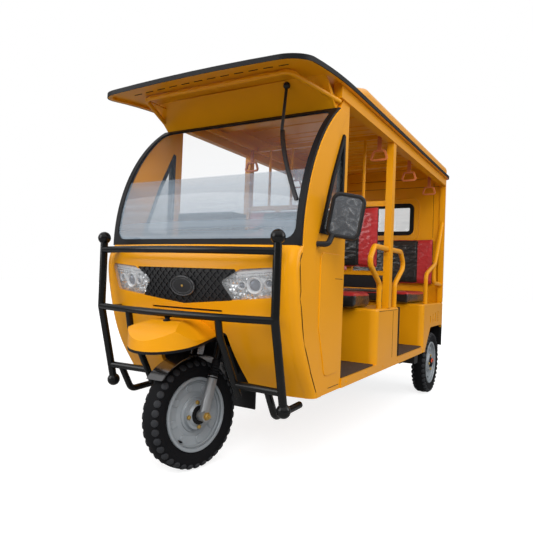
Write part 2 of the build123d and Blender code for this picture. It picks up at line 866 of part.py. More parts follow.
# Mirrors on arms at the windscreen's lower corners
mirror_middle = (608.0, at(196), 1106.0)
mirror_wide, mirror_tall, mirror_lean = 142.0, 188.0, -9.0
mirror_plane = Plane(origin=mirror_middle, x_dir=(0.93, 0.37, 0), z_dir=(0.37, -0.93, 0))
mirror_arm = bar(
    [(side_x - 12, at(122), 985), (side_x + 42, at(140), 985), (side_x + 44, at(190), 1044)], 12, 20
)
with BuildPart() as mirror_left:
    with BuildSketch(mirror_plane.offset(-34)):
        RectangleRounded(mirror_wide, mirror_tall, 36, rotation=mirror_lean)
    extrude(amount=40)
    fillet(mirror_left.edges().group_by(Axis(mirror_middle, mirror_plane.z_dir))[0], 16)
    add(mirror_arm)
    with BuildSketch(mirror_plane.offset(2)):
        RectangleRounded(mirror_wide - 18, mirror_tall - 18, 28, rotation=mirror_lean)
    extrude(amount=20, mode=Mode.SUBTRACT)
    add(side_panel_left.part, mode=Mode.SUBTRACT)
with BuildPart() as mirrors:
    add(both_sides(mirror_left.part))
save(mirrors.part, "mirrors")

with BuildPart() as mirror_glass_left:
    with BuildSketch(mirror_plane.offset(2)):
        RectangleRounded(mirror_wide - 18, mirror_tall - 18, 28, rotation=mirror_lean)
    extrude(amount=2)
with BuildPart() as mirror_glass:
    add(both_sides(mirror_glass_left.part))
save(mirror_glass.part, "mirror_glass")

# Wiper hung from the header
wiper_pivot = (303.0, at(196), 1700.0)
wiper_knee = (300.0, at(172), 1492.0)
blade_outline = [(294, 1492), (306, 1498), (484, 1152), (472, 1146)]
with BuildPart() as wiper_blade:
    add(screen_band(-10, 5, screen_half))
    add(front_prism(blade_outline, 2), mode=Mode.INTERSECT)
    add(windscreen_frame.part, mode=Mode.SUBTRACT)
with BuildPart() as wiper:
    add(bar([wiper_pivot, wiper_knee], 7, 0))
    with Locations(wiper_pivot):
        Sphere(16)
    add(wiper_blade.part)
    add([windscreen_header.part, windscreen_glass.part, roof_above, roof_panel.part], mode=Mode.SUBTRACT)
save(wiper.part, "wiper")

# Tail lamps and rear mud flaps
with BuildPart() as tail_lamps:
    for side in (1, -1):
        for height in (760, 850):
            with BuildSketch(Plane.XZ.offset(-at(rear_wall_back))):
                with Locations((side * 412, height)):
                    RectangleRounded(110, 70, 18)
            extrude(amount=-16)
save(tail_lamps.part, "tail_lamps")

flap_span = (405.0, 490.0)
flap_front = 2588.0
flap_back = flap_front + 6
with BuildPart() as mud_flaps:
    add(both_sides(block(flap_span, (flap_front, flap_back), (165, sill_low + 60))))
    add(both_sides(block(flap_span, (flap_back, rear_wall_back - 40), (sill_low + 30, sill_low + 60))))
save(mud_flaps.part, "mud_flaps")

# Rear axle with its drive unit, and the leaf springs
axle_radius = 28.0
hub_inner = 45.0
with BuildPart() as rear_axle:
    with Locations(Location((0, at(wheelbase), tyre_radius), (0, 90, 0))):
        Cylinder(axle_radius, 2 * (rear_track_half - hub_inner - 6))
        Cylinder(stub_radius, 2 * (rear_track_half + 46))
        Cylinder(88, 190)
save(rear_axle.part, "rear_axle")

leaf_low = tyre_radius + axle_radius + 8
with BuildPart() as leaf_springs:
    for x in (rail_x, -rail_x):
        span = (x - 22, x + 22)
        add(block(span, (wheelbase - 40, wheelbase + 40), (tyre_radius - axle_radius - 6, leaf_low)))
        for step, reach in enumerate((120, 200, 270)):
            level = leaf_low + 6 * step
            add(block(span, (wheelbase - reach, wheelbase + reach), (level, level + 6)))
        for end in (-250, 250):
            add(block(span, (wheelbase + end - 20, wheelbase + end + 20), (leaf_low + 12, rail_bottom)))
    add(rear_axle.part, mode=Mode.SUBTRACT)
save(leaf_springs.part, "leaf_springs")

# Steering: sliders with the axle, yoke with its stem, handlebar and inner mudguard
slider_radius = 22.0
slider_top = 170.0
clamp_low = 300.0
clamp_high = 336.0
bar_run = 862.0
with BuildPart() as fork_sliders:
    for side in (1, -1):
        with Locations(Location(Plane(on_leg(side, slider_top / 2), z_dir=along))):
            Cylinder(slider_radius, slider_top)
    with Locations(Location((0, at(0), tyre_radius), (0, 90, 0))):
        Cylinder(front_axle_radius, 2 * (fork_half + 32))
    for side in (1, -1):
        with Locations(Location((side * fork_half, at(0), tyre_radius), (0, 90, 0))):
            Cylinder(24, 2 * slider_radius - 4)
save(steered(fork_sliders.part), "fork_sliders")

handle_left = [(330, at(420), 1100), (230, at(345), 1120), (95, at(322), 1056)]
handle_tube = bar(handle_left + [(-x, y, z) for x, y, z in reversed(handle_left)], 11, 25)
with BuildPart() as handlebar:
    add(handle_tube)
    for side in (1, -1):
        grip = bar([(side * 338, at(426), 1098.5), (side * 250, at(360), 1116)], 16, 0)
        add(grip)
save(steered(handlebar.part), "handlebar")

with BuildPart() as fork_yoke:
    for side in (1, -1):
        with Locations(Location(Plane(on_leg(side, (slider_top + clamp_high) / 2), z_dir=along))):
            Cylinder(15, clamp_high - slider_top)
    clamp_plane = Plane(on_axis(clamp_low), x_dir=(1, 0, 0), z_dir=along)
    with BuildSketch(clamp_plane):
        with Locations((0, -17)):
            RectangleRounded(2 * fork_half + 50, 84, 20)
    extrude(amount=clamp_high - clamp_low)
    with BuildSketch(clamp_plane):
        Circle(stem_radius)
    extrude(amount=bar_run - clamp_low)
    add(handle_tube, mode=Mode.SUBTRACT)
save(steered(fork_yoke.part), "fork_yoke")

guard_radius = tyre_radius + 20
guard_half = 54.0
with BuildPart() as front_mudguard:
    with BuildSketch(Plane.YZ.offset(-guard_half)):
        with Locations((at(0), tyre_radius)):
            Circle(guard_radius + 5)
            Circle(guard_radius, mode=Mode.SUBTRACT)
            with Locations((0, -300)):
                Rectangle(900, 700, mode=Mode.SUBTRACT)
    extrude(amount=2 * guard_half)
    add(block((-200, 200), (-400, -160), (100, 400)), mode=Mode.SUBTRACT)
    bracket = Plane((0, at(0), tyre_radius), x_dir=(1, 0, 0), z_dir=along)
    with BuildSketch(bracket.offset(guard_radius + 2)):
        Rectangle(40, 60)
    extrude(amount=clamp_low - guard_radius + 22)
    add(fork_yoke.part, mode=Mode.SUBTRACT)
save(steered(front_mudguard.part), "front_mudguard")

# Wheels: a tyre on a pressed steel disc
bead_half = 36.0
tread_half = 40.0
tread_drop = 10.0


def tyre_at(x, station):
    tread_edge = tyre_radius - tread_drop
    with BuildPart() as tyre:
        with BuildSketch(Plane.XY):
            with BuildLine():
                Polyline(
                    (-bead_half, rim_radius),
                    (-33, rim_radius - 8),
                    (33, rim_radius - 8),
                    (bead_half, rim_radius),
                )
                bulge = rim_radius + 36
                ThreePointArc((bead_half, rim_radius), (tyre_half, bulge), (tread_half, tread_edge))
                ThreePointArc((tread_half, tread_edge), (0, tyre_radius), (-tread_half, tread_edge))
                ThreePointArc((-tread_half, tread_edge), (-tyre_half, bulge), (-bead_half, rim_radius))
            make_face()
        revolve(axis=Axis.X)
    return tyre.part.moved(Pos(x, at(station), tyre_radius))


def rim_at(x, station, bore, hub_in, hub_out):
    """Pressed disc wheel; the hub runs from hub_in inboard to hub_out outboard of the rim centre."""
    with BuildPart() as rim:
        with BuildSketch(Plane.XY):
            with BuildLine():
                Polyline(
                    (41, rim_radius),
                    (41, rim_radius - 14),
                    (30, rim_radius - 14),
                    (22, rim_radius - 26),
                    (20, 96),
                    (26, 74),
                    (hub_out, 40),
                    (hub_out, bore),
                    (-hub_in, bore),
                    (-hub_in, 40),
                    (8, 74),
                    (10, rim_radius - 30),
                    (-30, rim_radius - 14),
                    (-41, rim_radius - 14),
                    (-41, rim_radius),
                    (-36, rim_radius),
                    (-33, rim_radius - 8),
                    (33, rim_radius - 8),
                    (36, rim_radius),
                    (41, rim_radius),
                )
            make_face()
        revolve(axis=Axis.X)
    return rim.part.moved(Pos(x, at(station), tyre_radius))


front_tyre = tyre_at(0, 0)
front_rim = rim_at(0, 0, front_axle_radius + running_fit, 58, 58)
save(steered(front_tyre), "front_tyre")
save(steered(front_rim), "front_rim")

rear_rim_left = rim_at(rear_track_half, wheelbase, stub_radius + running_fit, hub_inner, 36)
rear_tyre_left = tyre_at(rear_track_half, wheelbase)
save(rear_tyre_left, "rear_tyre_left")
save(rear_rim_left, "rear_rim_left")
save(rear_tyre_left.mirror(Plane.YZ), "rear_tyre_right")
save(rear_rim_left.mirror(Plane.YZ), "rear_rim_right")
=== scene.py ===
import json
from math import cos, exp, hypot, pi, radians, sin

import bmesh
import bpy
from mathutils import Matrix, Vector, noise
from mathutils.bvhtree import BVHTree


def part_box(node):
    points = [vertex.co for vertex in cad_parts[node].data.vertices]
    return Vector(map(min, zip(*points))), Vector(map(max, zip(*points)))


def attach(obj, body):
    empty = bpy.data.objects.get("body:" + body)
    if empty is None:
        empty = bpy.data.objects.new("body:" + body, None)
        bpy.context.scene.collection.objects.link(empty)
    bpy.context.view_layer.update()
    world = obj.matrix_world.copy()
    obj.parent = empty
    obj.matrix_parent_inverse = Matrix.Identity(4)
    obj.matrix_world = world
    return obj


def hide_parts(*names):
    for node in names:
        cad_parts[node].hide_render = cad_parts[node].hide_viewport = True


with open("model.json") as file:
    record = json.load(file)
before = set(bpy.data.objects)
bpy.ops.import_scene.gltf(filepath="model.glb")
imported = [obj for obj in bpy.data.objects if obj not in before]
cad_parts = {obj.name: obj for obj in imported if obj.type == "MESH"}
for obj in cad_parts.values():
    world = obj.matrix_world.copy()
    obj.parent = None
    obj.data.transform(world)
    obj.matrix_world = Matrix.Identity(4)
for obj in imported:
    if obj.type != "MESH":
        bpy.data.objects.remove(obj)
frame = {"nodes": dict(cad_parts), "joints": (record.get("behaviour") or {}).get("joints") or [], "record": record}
nodes = frame["nodes"]
joints = {joint["name"]: joint for joint in frame["joints"]}
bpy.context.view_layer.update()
scene = bpy.context.scene

# The photograph's camera, in metres and degrees
CAMERA_PLACE = Vector((1.4049, -2.9407, 0.8376))
CAMERA_YAW, CAMERA_PITCH, CAMERA_ROLL = radians(30.65), radians(1.27), radians(2.26)
FOCAL_PIXELS, IMAGE_PIXELS = 509.4, 533

# Sizes in metres; stations run rearward from the front axle
MID_STATION = 1.162
TYRE_RADIUS, RIM_RADIUS = 0.232, 0.159
FORK_HALF = 0.085
FILM_AND_REFLECTION_TOP = 1.28  # height of the upper edge of the windscreen's film and of the reflection painted below it
WALL_BACK = 2.640  # station of the rear wall's outer face
ARCH_BACK, APRON_TOP = 2.583, 0.505  # where the black low edge behind the rear wheels starts and ends
WELL_INNER, WELL_OUTER, WELL_SKIN = 0.2, 0.4945, 0.022
SIDES = (1, -1)
RUN_AXIS, HEIGHT_AXIS = 1, 2
LEFT, BACK, UP = Vector((1, 0, 0)), Vector((0, 1, 0)), Vector((0, 0, 1))
FRONT, DOWN = -BACK, -UP
FAR = 3.0  # ahead of or behind the vehicle, where rays start

# Colours, linear
YELLOW = (0.80, 0.325, 0.004)
RED = (0.46, 0.028, 0.030)
VINYL_BLACK = (0.016, 0.016, 0.016)
UNDERSEAL = (0.012, 0.012, 0.012)


def at(station):
    """Y of a station."""
    return station - MID_STATION


# Camera and light


def place_camera():
    """Looks along the vehicle from its front left, as the photograph does."""
    forward = Vector(
        (-sin(CAMERA_YAW) * cos(CAMERA_PITCH), cos(CAMERA_YAW) * cos(CAMERA_PITCH), sin(CAMERA_PITCH))
    )
    level = Vector((cos(CAMERA_YAW), sin(CAMERA_YAW), 0))
    upright = level.cross(forward)
    right = cos(CAMERA_ROLL) * level + sin(CAMERA_ROLL) * upright
    up = cos(CAMERA_ROLL) * upright - sin(CAMERA_ROLL) * level
    data = bpy.data.cameras.new("photo_camera")
    data.sensor_width = 36
    data.lens = FOCAL_PIXELS * data.sensor_width / IMAGE_PIXELS
    data.clip_end = 100
    camera = bpy.data.objects.new("photo_camera", data)
    turn = Matrix((right, up, -forward)).transposed().to_4x4()
    camera.matrix_world = Matrix.Translation(CAMERA_PLACE) @ turn
    scene.collection.objects.link(camera)
    scene.camera = camera


def area_light(name, place, target, size, power, mirrored):
    """Round soft lamp; one that isn't mirrored leaves no glare on the paint."""
    data = bpy.data.lights.new(name, "AREA")
    data.shape, data.size, data.energy = "DISK", size, power
    lamp = bpy.data.objects.new(name, data)
    lamp.location = place
    lamp.visible_glossy = mirrored
    lamp.rotation_euler = (Vector(target) - Vector(place)).to_track_quat("-Z", "Y").to_euler()
    scene.collection.objects.link(lamp)


def greater(tree, first, second):
    """The greater of two values."""
    top = tree.nodes.new("ShaderNodeMath")
    top.operation = "MAXIMUM"
    tree.links.new(first, top.inputs[0])
    tree.links.new(second, top.inputs[1])
    return top.outputs[0]


def light_world():
    """Soft sky for the object; camera, glass and gloss see a white backdrop, dimmer low down in gloss."""
    world = bpy.data.worlds.new("studio")
    world.use_nodes = True
    tree = world.node_tree
    sky = tree.nodes["Background"]
    sky.inputs["Color"].default_value = (0.92, 0.95, 1.0, 1)
    sky.inputs["Strength"].default_value = 0.34
    path = tree.nodes.new("ShaderNodeLightPath")
    straight = greater(tree, path.outputs["Is Camera Ray"], path.outputs["Is Transmission Ray"])
    coords = tree.nodes.new("ShaderNodeTexCoord")
    axes = tree.nodes.new("ShaderNodeSeparateXYZ")
    tree.links.new(coords.outputs["Generated"], axes.inputs[0])
    rise = add_node(tree, "ShaderNodeMapRange", From_Min=0.10, From_Max=0.7, To_Min=0.10, To_Max=1.0)
    tree.links.new(axes.outputs["Z"], rise.inputs["Value"])
    white = tree.nodes.new("ShaderNodeBackground")
    white.inputs["Color"].default_value = (1, 1, 1, 1)
    tree.links.new(greater(tree, straight, rise.outputs["Result"]), white.inputs["Strength"])
    mix = tree.nodes.new("ShaderNodeMixShader")
    tree.links.new(greater(tree, straight, path.outputs["Is Glossy Ray"]), mix.inputs[0])
    tree.links.new(sky.outputs[0], mix.inputs[1])
    tree.links.new(white.outputs[0], mix.inputs[2])
    tree.links.new(mix.outputs[0], tree.nodes["World Output"].inputs["Surface"])
    scene.world = world


def lay_floor():
    """Pale floor that keeps the soft shadow and runs into the white backdrop."""
    sheet = bmesh.new()
    bmesh.ops.create_grid(sheet, x_segments=8, y_segments=8, size=30)
    mesh = bpy.data.meshes.new("floor")
    sheet.to_mesh(mesh)
    sheet.free()
    floor = bpy.data.objects.new("floor", mesh)
    scene.collection.objects.link(floor)
    material = bpy.data.materials.new("floor")
    material.use_nodes = True
    tree = material.node_tree
    shader = tree.nodes["Principled BSDF"]
    shader.inputs["Base Color"].default_value = (0.42, 0.42, 0.42, 1)
    shader.inputs["Roughness"].default_value = 0.9
    shader.inputs["Specular IOR Level"].default_value = 0.1
    coords = tree.nodes.new("ShaderNodeTexCoord")
    reach = tree.nodes.new("ShaderNodeVectorMath")
    reach.operation = "LENGTH"
    tree.links.new(coords.outputs["Object"], reach.inputs[0])
    fade = add_node(tree, "ShaderNodeMapRange", From_Min=1.6, From_Max=4.0, To_Min=0.77, To_Max=1.0)
    tree.links.new(reach.outputs["Value"], fade.inputs["Value"])
    path = tree.nodes.new("ShaderNodeLightPath")
    straight = greater(tree, path.outputs["Is Camera Ray"], path.outputs["Is Transmission Ray"])
    glow = tree.nodes.new("ShaderNodeEmission")
    tree.links.new(multiply(tree, straight, fade.outputs["Result"]), glow.inputs["Strength"])
    both = tree.nodes.new("ShaderNodeAddShader")
    tree.links.new(shader.outputs[0], both.inputs[0])
    tree.links.new(glow.outputs[0], both.inputs[1])
    tree.links.new(both.outputs[0], tree.nodes["Material Output"].inputs["Surface"])
    mesh.materials.append(material)


def light_studio():
    scene.view_settings.view_transform = "Standard"
    light_world()
    lay_floor()
    for name, place, target, size, power, mirrored in (
        ("key", (3.0, -5.0, 4.4), (0, 0, 0.8), 5.0, 330, False),
        ("fill", (-3.2, -5.0, 2.6), (0, -0.6, 0.8), 4.0, 130, True),
        ("side", (5.0, 1.5, 2.8), (0, 0.4, 0.9), 3.5, 90, True),
        ("rear", (-2.4, 5.6, 1.7), (0, 0.6, 0.9), 4.0, 100, False),
    ):
        area_light(name, place, target, size, power, mirrored)


# Material nodes


def add_node(tree, kind, **values):
    """New node with its sockets set; an underscore stands for a space in a socket's name."""
    made = tree.nodes.new(kind)
    for socket, value in values.items():
        made.inputs[socket.replace("_", " ")].default_value = value
    return made


def blank(name, roughness, metallic=0.0, coat=0.0, specular=0.5):
    """New material, with its node tree, its shader and the object's own coordinates."""
    material = bpy.data.materials.new(name)
    material.use_nodes = True
    tree = material.node_tree
    shader = tree.nodes["Principled BSDF"]
    shader.inputs["Roughness"].default_value = roughness
    shader.inputs["Metallic"].default_value = metallic
    shader.inputs["Coat Weight"].default_value = coat
    shader.inputs["Coat Roughness"].default_value = 0.06
    shader.inputs["Specular IOR Level"].default_value = specular
    coords = tree.nodes.new("ShaderNodeTexCoord")
    return material, tree, shader, coords.outputs["Object"]


def mix_colours(tree, factor, first, second):
    """Colour mix; each side is a plain colour or another node's output."""
    mix = tree.nodes.new("ShaderNodeMix")
    mix.data_type = "RGBA"
    tree.links.new(factor, mix.inputs["Factor"])
    for socket, side in ((mix.inputs[6], first), (mix.inputs[7], second)):
        if isinstance(side, tuple):
            socket.default_value = (*side, 1)
        else:
            tree.links.new(side, socket)
    return mix.outputs[2]


def shade(colour, factor):
    return tuple(min(1.0, channel * factor) for channel in colour)


def cloud_node(tree, coords, scale, detail=4.0):
    cloud = add_node(tree, "ShaderNodeTexNoise", Scale=scale, Detail=detail)
    tree.links.new(coords, cloud.inputs["Vector"])
    return cloud.outputs["Fac"]


def drift(tree, factor, colour, spread):
    """The colour, drifting a little lighter and darker over the surface."""
    return mix_colours(tree, factor, shade(colour, 1 - spread), shade(colour, 1 + spread))


def span(tree, value, low, high, from_low=0.0, from_high=1.0):
    """The value, spread from one range over another."""
    spread = add_node(
        tree, "ShaderNodeMapRange", From_Min=from_low, From_Max=from_high, To_Min=low, To_Max=high
    )
    tree.links.new(value, spread.inputs["Value"])
    return spread.outputs["Result"]


def lift(tree, shader, height, strength, distance):
    """Fine relief from a height."""
    bump = add_node(tree, "ShaderNodeBump", Strength=strength, Distance=distance)
    tree.links.new(height, bump.inputs["Height"])
    tree.links.new(bump.outputs["Normal"], shader.inputs["Normal"])


def within(tree, value, low, high):
    """1 where the value lies between two bounds."""
    results = []
    for test, bound in (("GREATER_THAN", low), ("LESS_THAN", high)):
        compare = tree.nodes.new("ShaderNodeMath")
        compare.operation = test
        tree.links.new(value, compare.inputs[0])
        compare.inputs[1].default_value = bound
        results.append(compare.outputs[0])
    return multiply(tree, *results)


def multiply(tree, *values):
    product = values[0]
    for value in values[1:]:
        times = tree.nodes.new("ShaderNodeMath")
        times.operation = "MULTIPLY"
        tree.links.new(product, times.inputs[0])
        tree.links.new(value, times.inputs[1])
        product = times.outputs[0]
    return product


def split_axes(tree, coords):
    """X without its sign, Y and Z of the object's own coordinates."""
    axes = tree.nodes.new("ShaderNodeSeparateXYZ")
    tree.links.new(coords, axes.inputs[0])
    size = tree.nodes.new("ShaderNodeMath")
    size.operation = "ABSOLUTE"
    tree.links.new(axes.outputs["X"], size.inputs[0])
    return size.outputs[0], axes.outputs["Y"], axes.outputs["Z"]


# Materials


def surface(
    name,
    colour,
    roughness,
    metallic=0.0,
    coat=0.0,
    specular=0.4,
    spread=0.06,
    cloud=4.0,
    grain=600.0,
    grain_lift=0.1,
):
    """Painted, moulded or cast surface: drifting colour and gloss, and a fine grain."""
    material, tree, shader, coords = blank(name, roughness, metallic, coat, specular)
    patches = cloud_node(tree, coords, cloud)
    tree.links.new(drift(tree, patches, colour, spread), shader.inputs["Base Color"])
    gloss = span(tree, patches, roughness * 0.8, min(1.0, roughness * 1.25))
    tree.links.new(gloss, shader.inputs["Roughness"])
    lift(tree, shader, cloud_node(tree, coords, grain, 2.0), grain_lift, 0.0006)
    return material


def well_paint():
    """Yellow body paint, black with underseal in the wheel wells and along the low edge behind them."""
    material, tree, shader, coords = blank("rear_body_paint", 0.3, coat=0.1, specular=0.2)
    patches = cloud_node(tree, coords, 4.0)
    width, run, height = split_axes(tree, coords)
    low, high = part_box("rear_body")
    inside = multiply(
        tree,
        within(tree, width, WELL_INNER, WELL_OUTER),
        within(tree, run, low.y + WELL_SKIN, high.y - WELL_SKIN),
        within(tree, height, 0.0, high.z - 0.012),
    )
    behind_arch = multiply(tree, within(tree, run, at(ARCH_BACK), FAR), within(tree, height, 0.0, APRON_TOP))
    dark = greater(tree, inside, behind_arch)
    tone = mix_colours(tree, dark, drift(tree, patches, YELLOW, 0.06), UNDERSEAL)
    tree.links.new(tone, shader.inputs["Base Color"])
    tree.links.new(span(tree, patches, 0.24, 0.36), shader.inputs["Roughness"])
    lift(tree, shader, cloud_node(tree, coords, 600.0, 2.0), 0.08, 0.0006)
    return material


def vinyl(name, band, run_span, height_span):
    """Black vinyl with a red band on its show face, under crinkled clear film."""
    material, tree, shader, coords = blank(name, 0.38, coat=0.7, specular=0.4)
    width, run, height = split_axes(tree, coords)
    patches = cloud_node(tree, coords, 9.0)
    red_here = multiply(
        tree, within(tree, width, *band), within(tree, run, *run_span), within(tree, height, *height_span)
    )
    tone = mix_colours(
        tree, red_here, drift(tree, patches, VINYL_BLACK, 0.25), drift(tree, patches, RED, 0.12)
    )
    tree.links.new(tone, shader.inputs["Base Color"])
    tree.links.new(span(tree, patches, 0.3, 0.5), shader.inputs["Roughness"])
    lift(tree, shader, creases(tree, coords, 1.4), 0.6, 0.010)
    return material


def creases(tree, coords, scale):
    """Slanting creases of thin wrapping film."""
    slant = add_node(tree, "ShaderNodeMapping", Rotation=(0.5, 0.7, 0.4), Scale=(9.0, 26.0, 14.0))
    tree.links.new(coords, slant.inputs["Vector"])
    folds = add_node(tree, "ShaderNodeTexNoise", Scale=scale, Detail=3.0, Roughness=0.5, Distortion=1.6)
    tree.links.new(slant.outputs["Vector"], folds.inputs["Vector"])
    return folds.outputs["Fac"]


def mirror_with_painted_glints(name):
    """Mirror glass that still wears its crinkled film, with painted highlights along the creases."""
    material, tree, shader, coords = blank(name, 0.12, metallic=0.9)
    folds = creases(tree, coords, 1.9)
    # Painted highlight: the base colour runs from grey to near white along the creases
    painted_crease_highlight = span(tree, folds, 0, 1, 0.46, 0.72)
    tone = mix_colours(tree, painted_crease_highlight, (0.36, 0.38, 0.41), (0.88, 0.90, 0.92))
    tree.links.new(tone, shader.inputs["Base Color"])
    tree.links.new(span(tree, folds, 0.08, 0.2), shader.inputs["Roughness"])
    lift(tree, shader, folds, 0.16, 0.004)
    return material


def glass(name, colour, alpha_low, alpha_high, height_span, clear=None):
    """Thin tinted sheet whose alpha runs over a span of heights, with faint level streaks of painted reflection in
    its colour and alpha; clear is the alpha above it.
    """
    material, tree, shader, coords = blank(name, 0.03, specular=0.5)
    height = split_axes(tree, coords)[2]
    flat = add_node(tree, "ShaderNodeMapping", Scale=(0.6, 0.6, 22.0))
    tree.links.new(coords, flat.inputs["Vector"])
    reflection_streaks = cloud_node(tree, flat.outputs["Vector"], 1.6)
    # Painted reflection: level streaks lighten and darken the glass colour
    tree.links.new(drift(tree, reflection_streaks, colour, 0.3), shader.inputs["Base Color"])
    height_alpha = span(tree, height, alpha_low, alpha_high, *height_span)
    if clear is not None:
        film_and_reflection_edge = (height_span[1], height_span[1] + 0.006)
        height_alpha = multiply(tree, height_alpha, span(tree, height, 1, clear / alpha_high, *film_and_reflection_edge))
    tree.links.new(multiply(tree, height_alpha, span(tree, reflection_streaks, 0.8, 1.2)), shader.inputs["Alpha"])
    tree.links.new(span(tree, reflection_streaks, 0.02, 0.07), shader.inputs["Roughness"])
    return material


def painted_glint_reflector(name, dark, bright):
    """Vacuum-coated reflector with painted reflections: its cells of dark and bright base colour stand for the
    dark and bright surroundings that small facets mirror.
    """
    material, tree, shader, coords = blank(name, 0.16, metallic=0.9)
    cells = add_node(tree, "ShaderNodeTexVoronoi", Scale=62.0)
    tree.links.new(coords, cells.inputs["Vector"])
    tone = add_node(tree, "ShaderNodeSeparateColor")
    tree.links.new(cells.outputs["Color"], tone.inputs[0])
    # Painted reflection: each cell gets a base colour between dark and bright
    tree.links.new(mix_colours(tree, tone.outputs[0], dark, bright), shader.inputs["Base Color"])
    tree.links.new(span(tree, tone.outputs[1], 0.08, 0.28), shader.inputs["Roughness"])
    lift(tree, shader, cells.outputs["Distance"], 0.2, 0.003)
    return material


# Name: colour, roughness, and what differs from the other values of surface()
FINISHES = {
    "body_paint": (YELLOW, 0.3, dict(coat=0.1, specular=0.2, grain_lift=0.08)),
    "gloss_black": ((0.005, 0.005, 0.005), 0.24, dict(coat=0.08, specular=0.25, spread=0.3, grain_lift=0.12)),
    "guard_black": ((0.15, 0.15, 0.155), 0.17, dict(metallic=0.9, coat=0.4, spread=0.4)),
    "chassis_black": ((0.014, 0.014, 0.015), 0.55, dict(spread=0.4, grain_lift=0.3)),
    "plastic_black": ((0.012, 0.012, 0.013), 0.42, dict(spread=0.25, grain=1400.0, grain_lift=0.5)),
    "rubber_black": ((0.006, 0.006, 0.007), 0.5, dict(specular=0.2, spread=0.3, grain=900.0, grain_lift=0.3)),
    "tyre_black": ((0.006, 0.006, 0.007), 0.75, dict(specular=0.15, spread=0.35, cloud=16.0, grain_lift=0.4)),
    "lug_rubber": ((0.024, 0.025, 0.028), 0.6, dict(specular=0.3, spread=0.35, cloud=30.0, grain_lift=0.4)),
    "wheel_silver": ((0.34, 0.368, 0.39), 0.4, dict(metallic=0.35, spread=0.1, cloud=9.0)),
    "fork_alloy": ((0.42, 0.43, 0.44), 0.36, dict(metallic=0.85, spread=0.2, cloud=18.0, grain_lift=0.25)),
    "lamp_white": ((0.80, 0.81, 0.83), 0.25, dict(metallic=0.3, spread=0.08, cloud=40.0)),
    "lamp_lens_blue": ((0.07, 0.08, 0.12), 0.08, dict(metallic=0.5, coat=0.5, spread=0.3)),
    "nut_brass": ((0.55, 0.36, 0.10), 0.35, dict(metallic=0.8, spread=0.15)),
    "strap_plastic": ((0.60, 0.17, 0.05), 0.4, dict(spread=0.1, grain_lift=0.2)),
    "tail_red": ((0.42, 0.008, 0.008), 0.15, dict(coat=0.6, spread=0.15, cloud=40.0)),
    "hub_orange": ((0.75, 0.08, 0.02), 0.4, dict(spread=0.12)),
    "battery_case": ((0.05, 0.05, 0.055), 0.55, dict(spread=0.2)),
    "piping_red": (RED, 0.4, dict(coat=0.4, spread=0.15, grain_lift=0.3)),
    "floor_rubber": ((0.05, 0.03, 0.022), 0.6, dict(spread=0.3, cloud=14.0, grain=220.0, grain_lift=0.4)),
    "plate_white": ((0.62, 0.62, 0.60), 0.4, dict(spread=0.05)),
    "screen_dark": ((0.01, 0.013, 0.018), 0.1, dict(coat=0.5, spread=0.3)),
}
finish = {
    name: surface(name, colour, roughness, **other) for name, (colour, roughness, other) in FINISHES.items()
}
finish["rear_paint"] = well_paint()
finish["window_glass"] = glass("window_glass", (0.16, 0.18, 0.19), 0.34, 0.24, (1.05, 1.5))
# Windscreen: the blue-grey over its lower part is partly the film's tint and partly a painted reflection
finish["screen_glass"] = glass("screen_glass", (0.23, 0.29, 0.35), 0.62, 0.34, (1.00, FILM_AND_REFLECTION_TOP), clear=0.05)
finish["lamp_lens"] = glass("lamp_lens", (0.75, 0.77, 0.8), 0.12, 0.16, (0.74, 0.88))
finish["mirror_film_painted_glints"] = mirror_with_painted_glints("mirror_film_painted_glints")
finish["lamp_painted_glints"] = painted_glint_reflector("lamp_painted_glints", (0.16, 0.17, 0.18), (0.85, 0.86, 0.88))

SLOT_FINISH = {
    "yellow_paint": "body_paint",
    "black_paint": "gloss_black",
    "chassis_paint": "chassis_black",
    "wheel_paint": "wheel_silver",
    "black_plastic": "plastic_black",
    "black_rubber": "rubber_black",
    "floor_rubber": "floor_rubber",
    "clear_glass": "window_glass",
    "lamp_clear": "lamp_lens",
    "lamp_chrome": "lamp_painted_glints",
    "tail_red": "tail_red",
    "seat_vinyl": "plastic_black",
    "strap_plastic": "strap_plastic",
    "fork_alloy": "fork_alloy",
    "mirror_face": "mirror_film_painted_glints",
    "tyre_rubber": "tyre_black",
    "battery_case": "battery_case",
}
NODE_FINISH = {
    "rear_body": "rear_paint",
    "windscreen_glass": "screen_glass",
    "front_mudguard": "guard_black",
    "windscreen_frame": "rubber_black",
}


def finish_nodes():
    """Gives each CAD node the finish of its name, or else of its material slot."""
    for subpart in frame["record"]["subparts"]:
        name = subpart["node"]
        mesh = nodes[name].data
        mesh.materials.clear()
        mesh.materials.append(finish[NODE_FINISH.get(name, SLOT_FINISH[subpart["material_slot"]])])


# Mesh building


def new_piece(name, bm, body, look, sharp=40):
    """Piece from a mesh under construction, riding a body; edges above the sharp angle stay crisp."""
    mesh = bpy.data.meshes.new(name)
    bmesh.ops.recalc_face_normals(bm, faces=bm.faces)
    bm.to_mesh(mesh)
    bm.free()
    mesh.materials.append(finish[look])
    for polygon in mesh.polygons:
        polygon.use_smooth = True
    mesh.set_sharp_from_angle(angle=radians(sharp))
    piece = bpy.data.objects.new(name, mesh)
    scene.collection.objects.link(piece)
    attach(piece, body)
    return piece


def bridge(bm, lower, upper):
    """Quads between two closed loops of the same length."""
    count = len(lower)
    for step in range(count):
        after = (step + 1) % count
        bm.faces.new((lower[step], lower[after], upper[after], upper[step]))


def lathe(bm, profile, place, steps):
    """Turns a profile of radius and height about the place's Z axis; a zero radius closes the end."""
    last = None
    for radius, height in profile:
        if radius == 0:
            tip = bm.verts.new(place @ Vector((0, 0, height)))
            for step in range(steps):
                bm.faces.new((last[step], last[(step + 1) % steps], tip))
            return
        ring = []
        for step in range(steps):
            turn = 2 * pi * step / steps
            ring.append(bm.verts.new(place @ Vector((radius * cos(turn), radius * sin(turn), height))))
        if last:
            bridge(bm, last, ring)
        last = ring


